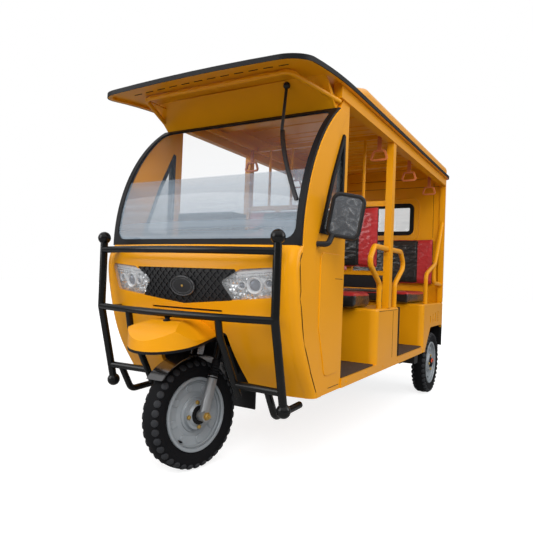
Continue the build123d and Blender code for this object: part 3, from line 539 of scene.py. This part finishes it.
def tube(bm, points, radius, sides=8, closed=False):
    """Round tube through points, capped at open ends."""
    count = len(points)
    rings = []
    hint = None
    for index, point in enumerate(points):
        before = points[index - 1] if index or closed else point
        after = points[(index + 1) % count] if index < count - 1 or closed else point
        along = (after - before).normalized()
        hint = hint or along.orthogonal()
        hint = (hint - along * hint.dot(along)).normalized()
        other = along.cross(hint)
        ring = []
        for step in range(sides):
            turn = 2 * pi * step / sides
            ring.append(bm.verts.new(point + radius * (cos(turn) * hint + sin(turn) * other)))
        rings.append(ring)
    for lower, upper in zip(rings, rings[1:]):
        bridge(bm, lower, upper)
    if closed:
        bridge(bm, rings[-1], rings[0])
    else:
        bm.faces.new(rings[0])
        bm.faces.new(rings[-1])


def rounded_loop(half_wide, half_tall, corner, steps=6):
    """Points of a rounded rectangle, in order round it."""
    points = []
    for index, (x, y) in enumerate(((1, 1), (-1, 1), (-1, -1), (1, -1))):
        for step in range(steps + 1):
            turn = pi / 2 * (index + step / steps)
            points.append(
                (x * (half_wide - corner) + corner * cos(turn), y * (half_tall - corner) + corner * sin(turn))
            )
    return points


def moulding(bm, half_wide, half_tall, corner, profile, place, filled=True):
    """Rounded-rectangle piece from a profile of inset and height, filled in at its end."""
    last = None
    for inset, height in profile:
        outline = rounded_loop(half_wide - inset, half_tall - inset, max(corner - inset, 0.0012))
        loop = [bm.verts.new(place @ Vector((x, y, height))) for x, y in outline]
        if last:
            bridge(bm, last, loop)
        last = loop
    if filled:
        bm.faces.new(last)


def pointing(place, direction):
    """Frame at a place whose Z axis points along a direction."""
    return Matrix.Translation(place) @ Vector(direction).to_track_quat("Z", "Y").to_matrix().to_4x4()


def search_tree(mesh):
    return BVHTree.FromPolygons([v.co for v in mesh.vertices], [p.vertices for p in mesh.polygons])


surfaces = {}


def land(node, start, direction):
    """Where a ray from start first meets a node, with the surface's outward direction."""
    if node not in surfaces:
        surfaces[node] = search_tree(nodes[node].data)
    place, normal = surfaces[node].ray_cast(Vector(start), Vector(direction))[:2]
    if place is None:
        return None, None
    if normal.dot(Vector(direction)) > 0:
        normal = -normal
    return place, normal


# Radius and height of a screw head, as shares of its radius
SCREW = [(1, -0.2), (1, 0.2), (0.8, 0.45), (0.35, 0.55), (0.3, 0.4), (0, 0.4)]


def screws(name, look, radius, rows):
    """Screw heads where rays meet their nodes; each row is node, direction and starting points."""
    heads = bmesh.new()
    profile = [(radius * share, radius * height) for share, height in SCREW]
    for node, direction, starts in rows:
        for start in starts:
            place, normal = land(node, start, direction)
            if place is not None:
                lathe(heads, profile, pointing(place, normal), 12)
    new_piece(name, heads, "body", look)


def spread_along(first, last, count):
    """Points at an even pitch from first to last."""
    first, last = Vector(first), Vector(last)
    return [first.lerp(last, step / (count - 1)) for step in range(count)]


def bead(bm, node, direction, starts, radius, sides=6, closed=False):
    """Half-sunk round bead along the surface that rays from the starting points meet."""
    landed = [land(node, start, direction)[0] for start in starts]
    points = [place for place in landed if place is not None]
    if len(points) > 1:
        tube(bm, points, radius, sides, closed)


# Seats

FILL_FRAMES = 20


def fill_pad(name, node, inset, edge, voxel, pressure):
    """Block a little smaller than a node, with an even mesh that cloth pressure fills out."""
    low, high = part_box(node)
    bm = bmesh.new()
    bmesh.ops.create_cube(bm, size=1)
    size = high - low - Vector((2 * inset, 2 * inset, 2 * inset))
    for vert in bm.verts:
        vert.co = Vector([part * length for part, length in zip(vert.co, size)]) + (low + high) / 2
    bmesh.ops.bevel(bm, geom=bm.edges, offset=edge, segments=4, profile=0.6, affect="EDGES")
    mesh = bpy.data.meshes.new(name)
    bm.to_mesh(mesh)
    bm.free()
    pad = bpy.data.objects.new(name, mesh)
    scene.collection.objects.link(pad)
    even = pad.modifiers.new("even_mesh", "REMESH")
    even.mode, even.voxel_size = "VOXEL", voxel
    apply_modifiers(pad)
    start = [vert.co.copy() for vert in pad.data.vertices]
    cloth = pad.modifiers.new("fill", "CLOTH")
    cloth.settings.use_pressure = True
    cloth.settings.uniform_pressure_force = pressure
    cloth.settings.effector_weights.gravity = 0
    cloth.point_cache.frame_end = FILL_FRAMES
    for step in range(1, FILL_FRAMES + 1):
        scene.frame_set(step)
    apply_modifiers(pad)
    scene.frame_set(1)
    return pad, start


def apply_modifiers(pad):
    graph = bpy.context.evaluated_depsgraph_get()
    pad.data = bpy.data.meshes.new_from_object(pad.evaluated_get(graph))
    pad.modifiers.clear()


def keep_inside(place, low, high):
    return Vector([min(max(part, least), most) for part, least, most in zip(place, low, high)])


def settle(pad, start, low, high, cap, seams):
    """Caps how far the pad swelled, keeps it in its space and sinks the seams."""
    middle = (low + high) / 2
    for vert, old in zip(pad.data.vertices, start):
        move = vert.co - old
        if move.length > cap:
            move = move.normalized() * cap
        place = old + move
        for seam in seams:
            place -= (place - middle) * 0.06 * exp(-(((abs(place.x) - seam) / 0.007) ** 2))
        vert.co = keep_inside(place, low, high)


def crinkle(pad, low, high, depth):
    """Sharp slanting creases of the wrapping film, kept in the pad's space."""
    normals = [vert.normal.copy() for vert in pad.data.vertices]
    for vert, normal in zip(pad.data.vertices, normals):
        spot = Vector((vert.co.x * 17 + vert.co.z * 9, vert.co.y * 22 - vert.co.z * 12, vert.co.z * 30))
        ridge = 1 - abs(noise.noise(spot)) * 2.2
        fine = 1 - abs(noise.noise(spot * 2.3)) * 2.2
        place = vert.co + normal * depth * (0.7 * ridge + 0.3 * fine - 0.8)
        vert.co = keep_inside(place, low, high)


def pipe_edge(node, pad, face_axis, show, face_side):
    """Red piping round the edge of a pad's show face."""
    low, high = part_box(node)
    middle = (low + high) / 2
    across = HEIGHT_AXIS if face_axis == RUN_AXIS else RUN_AXIS
    line = []
    for x, y in rounded_loop((high.x - low.x) / 2, (high[across] - low[across]) / 2, 0.03):
        point = Vector((middle.x + x, 0, 0))
        point[across] = middle[across] + y
        point[face_axis] = show - face_side * 0.014
        line.append(point)
    dense = []
    for first, second in zip(line, line[1:] + line[:1]):
        pieces = max(1, int((second - first).length / 0.03))
        dense += [first.lerp(second, step / pieces) for step in range(pieces)]
    tree = search_tree(pad.data)
    piping = bmesh.new()
    tube(piping, [tree.find_nearest(point)[0] for point in dense], 0.0034, 6, closed=True)
    new_piece(node + "_piping", piping, "body", "piping_red")


def dress_seat(node, band, face_axis, face_side):
    """Filled cushion with a red band near each end of its show face, edged with red piping."""
    low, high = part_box(node)
    pad, start = fill_pad(node + "_pad", node, inset=0.007, edge=0.02, voxel=0.011, pressure=4.0)
    settle(pad, start, low, high, cap=0.012, seams=band)
    smooth = pad.modifiers.new("smooth", "SUBSURF")
    smooth.levels = smooth.render_levels = 1
    apply_modifiers(pad)
    crinkle(pad, low, high, depth=0.0022)
    for polygon in pad.data.polygons:
        polygon.use_smooth = True
    spans = [(-5.0, 5.0)] * 3
    show = high[face_axis] if face_side > 0 else low[face_axis]
    spans[face_axis] = (show - 0.018, show + 0.018)
    pad.data.materials.clear()
    pad.data.materials.append(vinyl(node + "_vinyl", band, spans[RUN_AXIS], spans[HEIGHT_AXIS]))
    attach(pad, "body")
    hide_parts(node)
    pipe_edge(node, pad, face_axis, show, face_side)


def dress_seats():
    for node, band, face_axis, face_side in (
        ("front_cushion", (0.30, 0.428), HEIGHT_AXIS, 1),
        ("front_backrest", (0.335, 0.455), RUN_AXIS, -1),
        ("rear_cushion", (0.30, 0.428), HEIGHT_AXIS, 1),
        ("rear_backrest", (0.312, 0.442), RUN_AXIS, -1),
    ):
        dress_seat(node, band, face_axis, face_side)
    board = bmesh.new()
    place = pointing(Vector((0, at(1.150), 0.840)), FRONT)
    moulding(board, 0.440, 0.038, 0.012, [(0.003, -0.001), (0, 0.002), (0, 0.009), (0.003, 0.012)], place)
    new_piece("back_board", board, "body", "plastic_black")


# Wheels


def wheel_frame(joint, side):
    """Frame at a wheel's centre; Z runs outboard along the axle and X points up."""
    axis = side * Vector(joint["axis"]).normalized()
    up = (UP - axis * UP.dot(axis)).normalized()
    turn = Matrix((up, axis.cross(up), axis)).transposed().to_4x4()
    return Matrix.Translation(Vector(joint["pos_m"])) @ turn


def around(turn, radius, height):
    """Point at an angle round the axle, in a wheel's frame."""
    return Vector((radius * cos(turn), radius * sin(turn), height))


# Profiles of radius and height on a wheel; discs and hubs are measured from its middle plane
LUG = [(0.0158, 0), (0.0152, 0.0075), (0.0112, 0.0098), (0, 0.0102)]
BOSS = [(0.0185, 0), (0.0178, 0.0042), (0.0160, 0.0056), (0.0135, 0.0050), (0, 0.0046)]
RIM_LIP = [(0.1435, 0.0405), (0.1465, 0.0440), (0.1520, 0.0448), (0.1575, 0.0436), (0.1590, 0.0405)]
RIM_STEP = [(0.1335, 0.0220), (0.1343, 0.0300), (0.1378, 0.0330), (0.1415, 0.0318), (0.1430, 0.0270)]
PLATE_EDGE = [(0.078, 0.022), (0.076, 0.030), (0.071, 0.033), (0.067, 0.030)]
WHEEL_NUT = [(0.0105, 0), (0.0105, 0.006), (0.0085, 0.009), (0.0055, 0.0105), (0, 0.0110)]
HUB_SEAL = [(0.0410, -0.0030), (0.0405, 0.0015), (0.0370, 0.0030), (0.0160, 0.0030)]
VALVE = [(0.0055, 0), (0.0055, 0.016), (0.0040, 0.018), (0.0040, 0.026), (0, 0.0265)]
HUB_CAP = [(0.034, 0.040), (0.033, 0.050), (0.028, 0.054), (0.012, 0.056), (0, 0.0562)]
LUG_COUNT, BOSS_COUNT, NUT_COUNT = 36, 8, 4


def dress_tyre(body, place):
    """Shoulder lugs and the rings moulded on the sidewalls."""
    rubber = bmesh.new()
    lugs = bmesh.new()
    for face in SIDES:
        for index in range(LUG_COUNT):
            turn = 2 * pi * (index + (0.5 if face < 0 else 0)) / LUG_COUNT
            out = Vector((cos(turn), sin(turn), 0.75 * face)).normalized()
            seat = around(turn, TYRE_RADIUS - 0.0128, face * 0.0385)
            lathe(lugs, LUG, place @ pointing(seat - out * 0.004, out), 10)
        for radius, out in ((RIM_RADIUS + 0.012, 0.0415), (RIM_RADIUS + 0.030, 0.0475)):
            ring = [place @ around(2 * pi * step / 72, radius, face * out) for step in range(72)]
            tube(rubber, ring, 0.0022, 6, closed=True)
    new_piece(body + "_rings", rubber, body, "tyre_black")
    new_piece(body + "_lugs", lugs, body, "lug_rubber")


def dress_disc(body, place, plate_high, hub_high, nut_radius):
    """Rim lip and step, pressed bosses, raised centre plate, wheel nuts, hub seal and valve."""
    disc = bmesh.new()
    for index in range(BOSS_COUNT):
        boss = around(2 * pi * (index + 0.3) / BOSS_COUNT, 0.115, 0.0195)
        lathe(disc, BOSS, place @ Matrix.Translation(boss), 24)
    lathe(disc, PLATE_EDGE + [(0.062, plate_high), (0.034, plate_high)], place, 48)
    lathe(disc, RIM_LIP, place, 64)
    lathe(disc, RIM_STEP, place, 64)
    new_piece(body + "_disc", disc, body, "wheel_silver")

    nuts = bmesh.new()
    for index in range(NUT_COUNT):
        nut = around(2 * pi * (index + 0.05) / NUT_COUNT, nut_radius, plate_high - 0.001)
        lathe(nuts, WHEEL_NUT, place @ Matrix.Translation(nut), 6)
    new_piece(body + "_nuts", nuts, body, "nut_brass")

    hub = bmesh.new()
    lathe(hub, [(radius, hub_high + height) for radius, height in HUB_SEAL], place, 32)
    lathe(hub, VALVE, place @ Matrix.Translation(around(radians(140), 0.132, 0.018)), 10)
    new_piece(body + "_hub", hub, body, "rubber_black")


def dress_wheels():
    for body, side, plate_high, hub_high, nut_radius in (
        ("front_wheel", 1, 0.0478, 0.0580, 0.052),
        ("rear_wheel_left", 1, 0.0395, 0.0395, 0.052),
        ("rear_wheel_right", -1, 0.0395, 0.0395, 0.052),
    ):
        place = wheel_frame(joints[body + "_spin"], side)
        dress_tyre(body, place)
        dress_disc(body, place, plate_high, hub_high, nut_radius)
        if body == "front_wheel":
            continue
        cap = bmesh.new()
        lathe(cap, HUB_CAP, place, 24)
        new_piece(body + "_cap", cap, body, "rubber_black")
        mark = bmesh.new()
        arc = [place @ around(radians(angle), 0.027, 0.0545) for angle in range(-80, 81, 16)]
        tube(mark, arc, 0.0045, 8)
        new_piece(body + "_mark", mark, body, "hub_orange")


# Lamps and nose

# X, Z and radius of a headlamp's projector and of the small bowls beside it
BOWLS = [(0.335, 0.806, 0.034), (0.280, 0.804, 0.017), (0.397, 0.816, 0.018)]
# Profiles of a bowl, as shares of its radius and heights
BOWL_RING = [(1, 0), (1, 0.010), (0.94, 0.012), (0.86, 0.010), (0.72, 0.003), (0.70, 0.001)]
BOWL_DOME = [(0.70, 0.001), (0.6, 0.006), (0.35, 0.010), (0, 0.011)]
LAMP_BLOCK = [(0, -0.001), (0, 0.006), (0.0012, 0.0075)]


def on_lamp(x, z):
    return land("headlamp_housings", (x, -FAR, z), BACK)


def lamp_strip(strips, blocks, side):
    """Light strip along a headlamp's top, over a row of small blocks."""
    top = spread_along((side * 0.258, -FAR, 0.8525), (side * 0.436, -FAR, 0.8715), 18)
    bead(strips, "headlamp_housings", BACK, top, 0.0082, 10)
    for start in top:
        place, normal = on_lamp(start.x, start.z - 0.0135)
        if place is not None:
            moulding(blocks, 0.0035, 0.0040, 0.0012, LAMP_BLOCK, pointing(place, normal))


def lamp_facet(facets, place, normal, column, row):
    """Small leaning pyramid on a headlamp's reflector."""
    spot = pointing(place - normal * 0.001, normal)
    corners = ((1, 1), (-1, 1), (-1, -1), (1, -1))
    base = [facets.verts.new(spot @ Vector((0.0076 * u, 0.0073 * v, 0))) for u, v in corners]
    lean = Vector((0.005 * sin(7 * column + 3 * row), 0.005 * cos(5 * column - 4 * row), 0.0055))
    tip = facets.verts.new(spot @ lean)
    for step in range(4):
        facets.faces.new((base[step], base[(step + 1) % 4], tip))
    facets.faces.new(base)


def dress_lamps():
    """Projector ring and side bowls, a light strip along the top, and facets between them."""
    bright, strips, bulbs, facets = bmesh.new(), bmesh.new(), bmesh.new(), bmesh.new()
    for side in SIDES:
        for x, z, radius in BOWLS:
            place, normal = on_lamp(side * x, z)
            spot = pointing(place - normal * 0.001, normal)
            lathe(bright, [(radius * share, height) for share, height in BOWL_RING], spot, 32)
            lathe(bulbs, [(radius * share, height) for share, height in BOWL_DOME], spot, 24)
        lamp_strip(strips, bright, side)
        for column in range(16):
            for row in range(7):
                x, z = 0.206 + 0.0158 * column, 0.752 + 0.0152 * row
                if any(hypot(x - bx, z - bz) < radius + 0.006 for bx, bz, radius in BOWLS):
                    continue
                place, normal = on_lamp(side * x, z)
                if place is not None and normal.y <= -0.5:
                    lamp_facet(facets, place, normal, column, row)
    new_piece("headlamp_rings", bright, "body", "lamp_white")
    new_piece("headlamp_strips", strips, "body", "lamp_white")
    new_piece("headlamp_bulbs", bulbs, "body", "lamp_lens_blue")
    new_piece("headlamp_facets", facets, "body", "lamp_painted_glints", sharp=5)


def dress_nose():
    # Oval rings and centre screw of the badge boss, left plain
    badge_z = 0.790
    ring = bmesh.new()
    for wide, tall, radius in ((0.063, 0.040, 0.0026), (0.050, 0.031, 0.0016)):
        turns = [2 * pi * step / 48 for step in range(48)]
        oval = [(wide * cos(turn), -FAR, badge_z + tall * sin(turn)) for turn in turns]
        bead(ring, "grille", BACK, oval, radius, closed=True)
    new_piece("badge_ring", ring, "body", "guard_black")
    screws("badge_screw", "nut_brass", 0.006, [("grille", BACK, [(0, -FAR, badge_z)])])

    # Rubber buffer between the fender's top and the bull bar's rail
    foot = land("front_fender", (0, at(-0.186), 0.9), DOWN)[0]
    tall = land("bull_bar", foot, UP)[0].z - foot.z
    buffer = bmesh.new()
    waist = [(0.011, 0.3 * tall), (0.010, 0.7 * tall)]
    profile = [(0.017, -0.004), (0.016, 0.004)] + waist + [(0.014, tall), (0, tall + 0.002)]
    lathe(buffer, profile, Matrix.Translation(foot), 16)
    new_piece("fender_buffer", buffer, "body", "rubber_black")

    # Black strip behind the slot above the fender, painted shade that darkens the slot where the nose's shaded
    # inside shows through
    strip = bmesh.new()
    starts = spread_along((-0.21, at(0.1), 0.704), (0.21, at(0.1), 0.704), 15)
    inside = [land("nose_panel", start, FRONT)[0] for start in starts]
    behind = Vector((0, 0.004, -0.010))
    tube(strip, [place + behind for place in inside if place is not None], 0.014, 8)
    new_piece("slot_shade_strip", strip, "body", "plastic_black")

    nose_row = spread_along((-0.44, -FAR, 0.945), (0.44, -FAR, 0.945), 7)
    screws("nose_screws", "gloss_black", 0.005, [("nose_panel", BACK, nose_row)])


def front_edge(node, side, height):
    """Foremost point of a node's side at a height."""
    for start in spread_along((side, at(-0.20), height), (side, at(0.30), height), 126):
        place = land(node, start, -side * LEFT)[0]
        if place is not None:
            return place
    return None


def dress_joints():
    """Dark joint lines where side panels meet the nose, and of the panels' and the seat box's sheets."""
    seams = bmesh.new()
    for side in SIDES:
        edge = [front_edge("side_panels", side, 0.37 + 0.03 * step) for step in range(20)]
        tube(seams, [place for place in edge if place is not None], 0.0018, 6)
        for node, first, last in (
            ("side_panels", (0.330, 0.845), (0.425, 0.845)),
            ("side_panels", (0.300, 0.364), (0.420, 0.364)),
            ("front_seat_box", (1.222, 0.395), (1.222, 0.700)),
            ("front_seat_box", (0.960, 0.676), (1.340, 0.676)),
        ):
            ends = [(side, at(station), height) for station, height in (first, last)]
            bead(seams, node, -side * LEFT, spread_along(*ends, 12), 0.0013)
    new_piece("joint_lines", seams, "body", "rubber_black")


MIRROR_LIP = [
    (-0.001, -0.010),
    (-0.001, 0.005),
    (0.002, 0.010),
    (0.008, 0.012),
    (0.014, 0.009),
    (0.0155, 0.004),
]


def dress_mirrors():
    """Thick moulded lip round each mirror glass."""
    lip = bmesh.new()
    for side in SIDES:
        right, out = Vector((0.93, side * 0.37, 0)), Vector((side * 0.37, -0.93, 0))
        turn = Matrix((right, UP, out)).transposed().to_4x4()
        lean = Matrix.Rotation(radians(-9 * side), 4, "Z")
        place = Matrix.Translation((side * 0.608, at(0.196), 1.106)) @ turn @ lean
        moulding(lip, 0.071, 0.094, 0.036, MIRROR_LIP, place, filled=False)
    new_piece("mirror_lips", lip, "body", "plastic_black")


# Cab and cabin

ROOF_BOWS = (0.440, 1.150, 1.900)


def dress_roof():
    # Dark dashes of the visor's seam, and the wavy line of sealant on the header
    dashes = bmesh.new()
    half_dash = 0.022 * LEFT
    for middle in spread_along((-0.40, at(-0.010), 1.2), (0.40, at(-0.010), 1.2), 12):
        bead(dashes, "roof_panel", UP, spread_along(middle - half_dash, middle + half_dash, 3), 0.0028)
    new_piece("visor_seam", dashes, "body", "rubber_black")
    sealant = bmesh.new()
    across = [-0.42 + 0.01 * step for step in range(85)]
    wave = [(x, -FAR, 1.694 + 0.004 * sin(70 * x) + 0.002 * sin(173 * x)) for x in across]
    bead(sealant, "windscreen_header", BACK, wave, 0.0030)
    new_piece("header_sealant", sealant, "body", "body_paint")

    # Pressed ribs of the ceiling, clear of the bows
    ribs = bmesh.new()
    for station in [0.52 + 0.09 * step for step in range(23)]:
        if min(abs(station - bow) for bow in ROOF_BOWS) > 0.03:
            starts = spread_along((-0.42, at(station), 1.6), (0.42, at(station), 1.6), 22)
            bead(ribs, "roof_panel", UP, starts, 0.0040)
    new_piece("ceiling_ribs", ribs, "body", "body_paint")


def dress_rear_wall():
    """Pressed outlines on both faces of the rear wall, and its sheet seams inside."""
    pressed = bmesh.new()
    for half_wide, half_tall, corner, middle_z, face in (
        (0.300, 0.182, 0.070, 1.3895, FRONT),
        (0.300, 0.182, 0.070, 1.3895, BACK),
        (0.330, 0.130, 0.050, 1.060, BACK),
    ):
        start_y = at(2.0) if face == FRONT else at(3.5)
        loop = [(x, start_y, middle_z + z) for x, z in rounded_loop(half_wide, half_tall, corner, 8)]
        bead(pressed, "rear_wall", -face, loop, 0.0045, 8, closed=True)
    new_piece("wall_pressings", pressed, "body", "body_paint")
    seams = bmesh.new()
    for first, last, count in (
        ((0.418, 1.0, 1.23), (0.414, 1.0, 1.69), 6),
        ((-0.418, 1.0, 1.23), (-0.414, 1.0, 1.69), 6),
        ((-0.46, 1.0, 1.660), (0.46, 1.0, 1.660), 12),
    ):
        bead(seams, "rear_wall", BACK, spread_along(first, last, count), 0.0016)
    new_piece("wall_seams", seams, "body", "rubber_black")


# Profiles of inset and height
TAIL_BEZEL = [(0, -0.002), (0, 0.006), (0.002, 0.008), (0.004, 0.006), (0.004, 0)]
PLATE_HOLDER = [(0, -0.002), (0, 0.005), (0.003, 0.007), (0.008, 0.007), (0.009, 0.004)]
PLATE = [(0, 0.003), (0, 0.0055), (0.001, 0.006)]
GAUGE_BEZEL = [(0, -0.002), (0, 0.008), (0.003, 0.011), (0.010, 0.011), (0.012, 0.006)]
GAUGE_DISPLAY = [(0, 0.005), (0, 0.0075), (0.001, 0.008)]
BUTTON = [(0, -0.001), (0, 0.004), (0.002, 0.007)]


def dress_tail():
    """Bezels and ribs of the tail lamps, and a blank plate in its holder."""
    bezels = bmesh.new()
    ribs = bmesh.new()
    for side in SIDES:
        for height in (0.760, 0.850):
            place = pointing(Vector((side * 0.412, at(WALL_BACK), height)), BACK)
            moulding(bezels, 0.0585, 0.0385, 0.021, TAIL_BEZEL, place, filled=False)
            for z in (-0.018, -0.006, 0.006, 0.018):
                tube(ribs, [place @ Vector((x, z, 0.0155)) for x in (-0.044, 0.044)], 0.0016, 6)
    new_piece("tail_bezels", bezels, "body", "plastic_black")
    new_piece("tail_ribs", ribs, "body", "tail_red")
    holder = bmesh.new()
    plate = bmesh.new()
    place = pointing(Vector((0, at(WALL_BACK), 0.800)), BACK)
    moulding(holder, 0.125, 0.085, 0.012, PLATE_HOLDER, place)
    moulding(plate, 0.112, 0.072, 0.008, PLATE, place)
    new_piece("plate_holder", holder, "body", "plastic_black")
    new_piece("plate_blank", plate, "body", "plate_white")


def dress_cabin():
    # Rubber edging on the seat box's rear edges, which also paints the shade of the gap behind the box
    edging_and_shade = bmesh.new()
    for side in SIDES:
        low, high = [(side * 0.503, at(1.353), height) for height in (0.393, 0.688)]
        tube(edging_and_shade, spread_along(low, high, 5), 0.014, 8)
    new_piece("box_edging_and_gap_shade", edging_and_shade, "body", "rubber_black")

    # Gauge and buttons that face the driver
    bezel = bmesh.new()
    display = bmesh.new()
    place = pointing(Vector((0, at(0.140), 1.066)), BACK)
    moulding(bezel, 0.118, 0.040, 0.014, GAUGE_BEZEL, place)
    moulding(display, 0.105, 0.027, 0.006, GAUGE_DISPLAY, place)
    for x in (-0.09, -0.045, 0.0, 0.045, 0.09):
        moulding(bezel, 0.014, 0.010, 0.004, BUTTON, pointing(Vector((x, at(0.190), 0.985)), BACK))
    new_piece("gauge_bezel", bezel, "body", "plastic_black")
    new_piece("gauge_display", display, "body", "screen_dark")

    # Ribs of the floor mats
    ribs = bmesh.new()
    low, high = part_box("floor_mats")
    for front, back in ((0.460, 0.907), (1.373, 1.952)):
        for start in spread_along((low.x + 0.015, 0, 0), (high.x - 0.015, 0, 0), 82):
            ends = [Vector((start.x, y, high.z)) for y in (at(front) + 0.012, at(back) - 0.012)]
            tube(ribs, ends, 0.0027, 6)
    new_piece("mat_ribs", ribs, "body", "floor_rubber")

    rows = [
        ("front_seat_box", BACK, spread_along((-0.42, at(0.6), 0.672), (0.42, at(0.6), 0.672), 6)),
        ("rear_body", BACK, spread_along((-0.42, at(1.6), 0.672), (0.42, at(1.6), 0.672), 6)),
        ("rear_wall", FRONT, spread_along((-0.45, FAR, 1.60), (0.45, FAR, 1.60), 5)),
        ("rear_body", FRONT, spread_along((-0.45, FAR, 0.66), (0.45, FAR, 0.66), 5)),
    ]
    for side in SIDES:
        sill = spread_along((side, at(0.5), 0.364), (side, at(1.9), 0.364), 6)
        flap = spread_along((side * 0.42, FAR, 0.385), (side * 0.475, FAR, 0.385), 3)
        rows += [("side_sills", -side * LEFT, sill), ("mud_flaps", FRONT, flap)]
    screws("body_screws", "body_paint", 0.005, rows)


# Steering

AXLE_NUT = [(0.0185, 0.0195), (0.0185, 0.0225), (0.0150, 0.0225), (0.0150, 0.0300), (0.0125, 0.0325)]
AXLE_TIP = [(0.0075, 0.0325), (0.0070, 0.0420), (0, 0.0430)]


def dress_fork():
    """Dust boots on the sliders and nuts on the axle."""
    place = wheel_frame(joints["front_wheel_spin"], 1)
    centre, axle = place.translation, place.to_3x3() @ UP
    along = Vector(joints["steering_turn"]["axis"]).normalized()
    along = along if along.z > 0 else -along
    folds = []
    for step in range(7):
        folds += [(0.0245 - 0.0008 * step, 0.164 + 0.012 * step), (0.0185, 0.170 + 0.012 * step)]
    boots = bmesh.new()
    nuts = bmesh.new()
    for side in SIDES:
        foot = centre + axle * side * FORK_HALF
        lathe(boots, [(0.0222, 0.160)] + folds + [(0.0155, 0.246)], pointing(foot, along), 24)
        lathe(nuts, AXLE_NUT + AXLE_TIP, pointing(foot, axle * side), 6)
    new_piece("fork_boots", boots, "steering", "rubber_black")
    new_piece("axle_nuts", nuts, "steering", "nut_brass")


place_camera()
light_studio()
finish_nodes()
dress_seats()
dress_wheels()
dress_lamps()
dress_nose()
dress_joints()
dress_mirrors()
dress_roof()
dress_rear_wall()
dress_tail()
dress_cabin()
dress_fork()
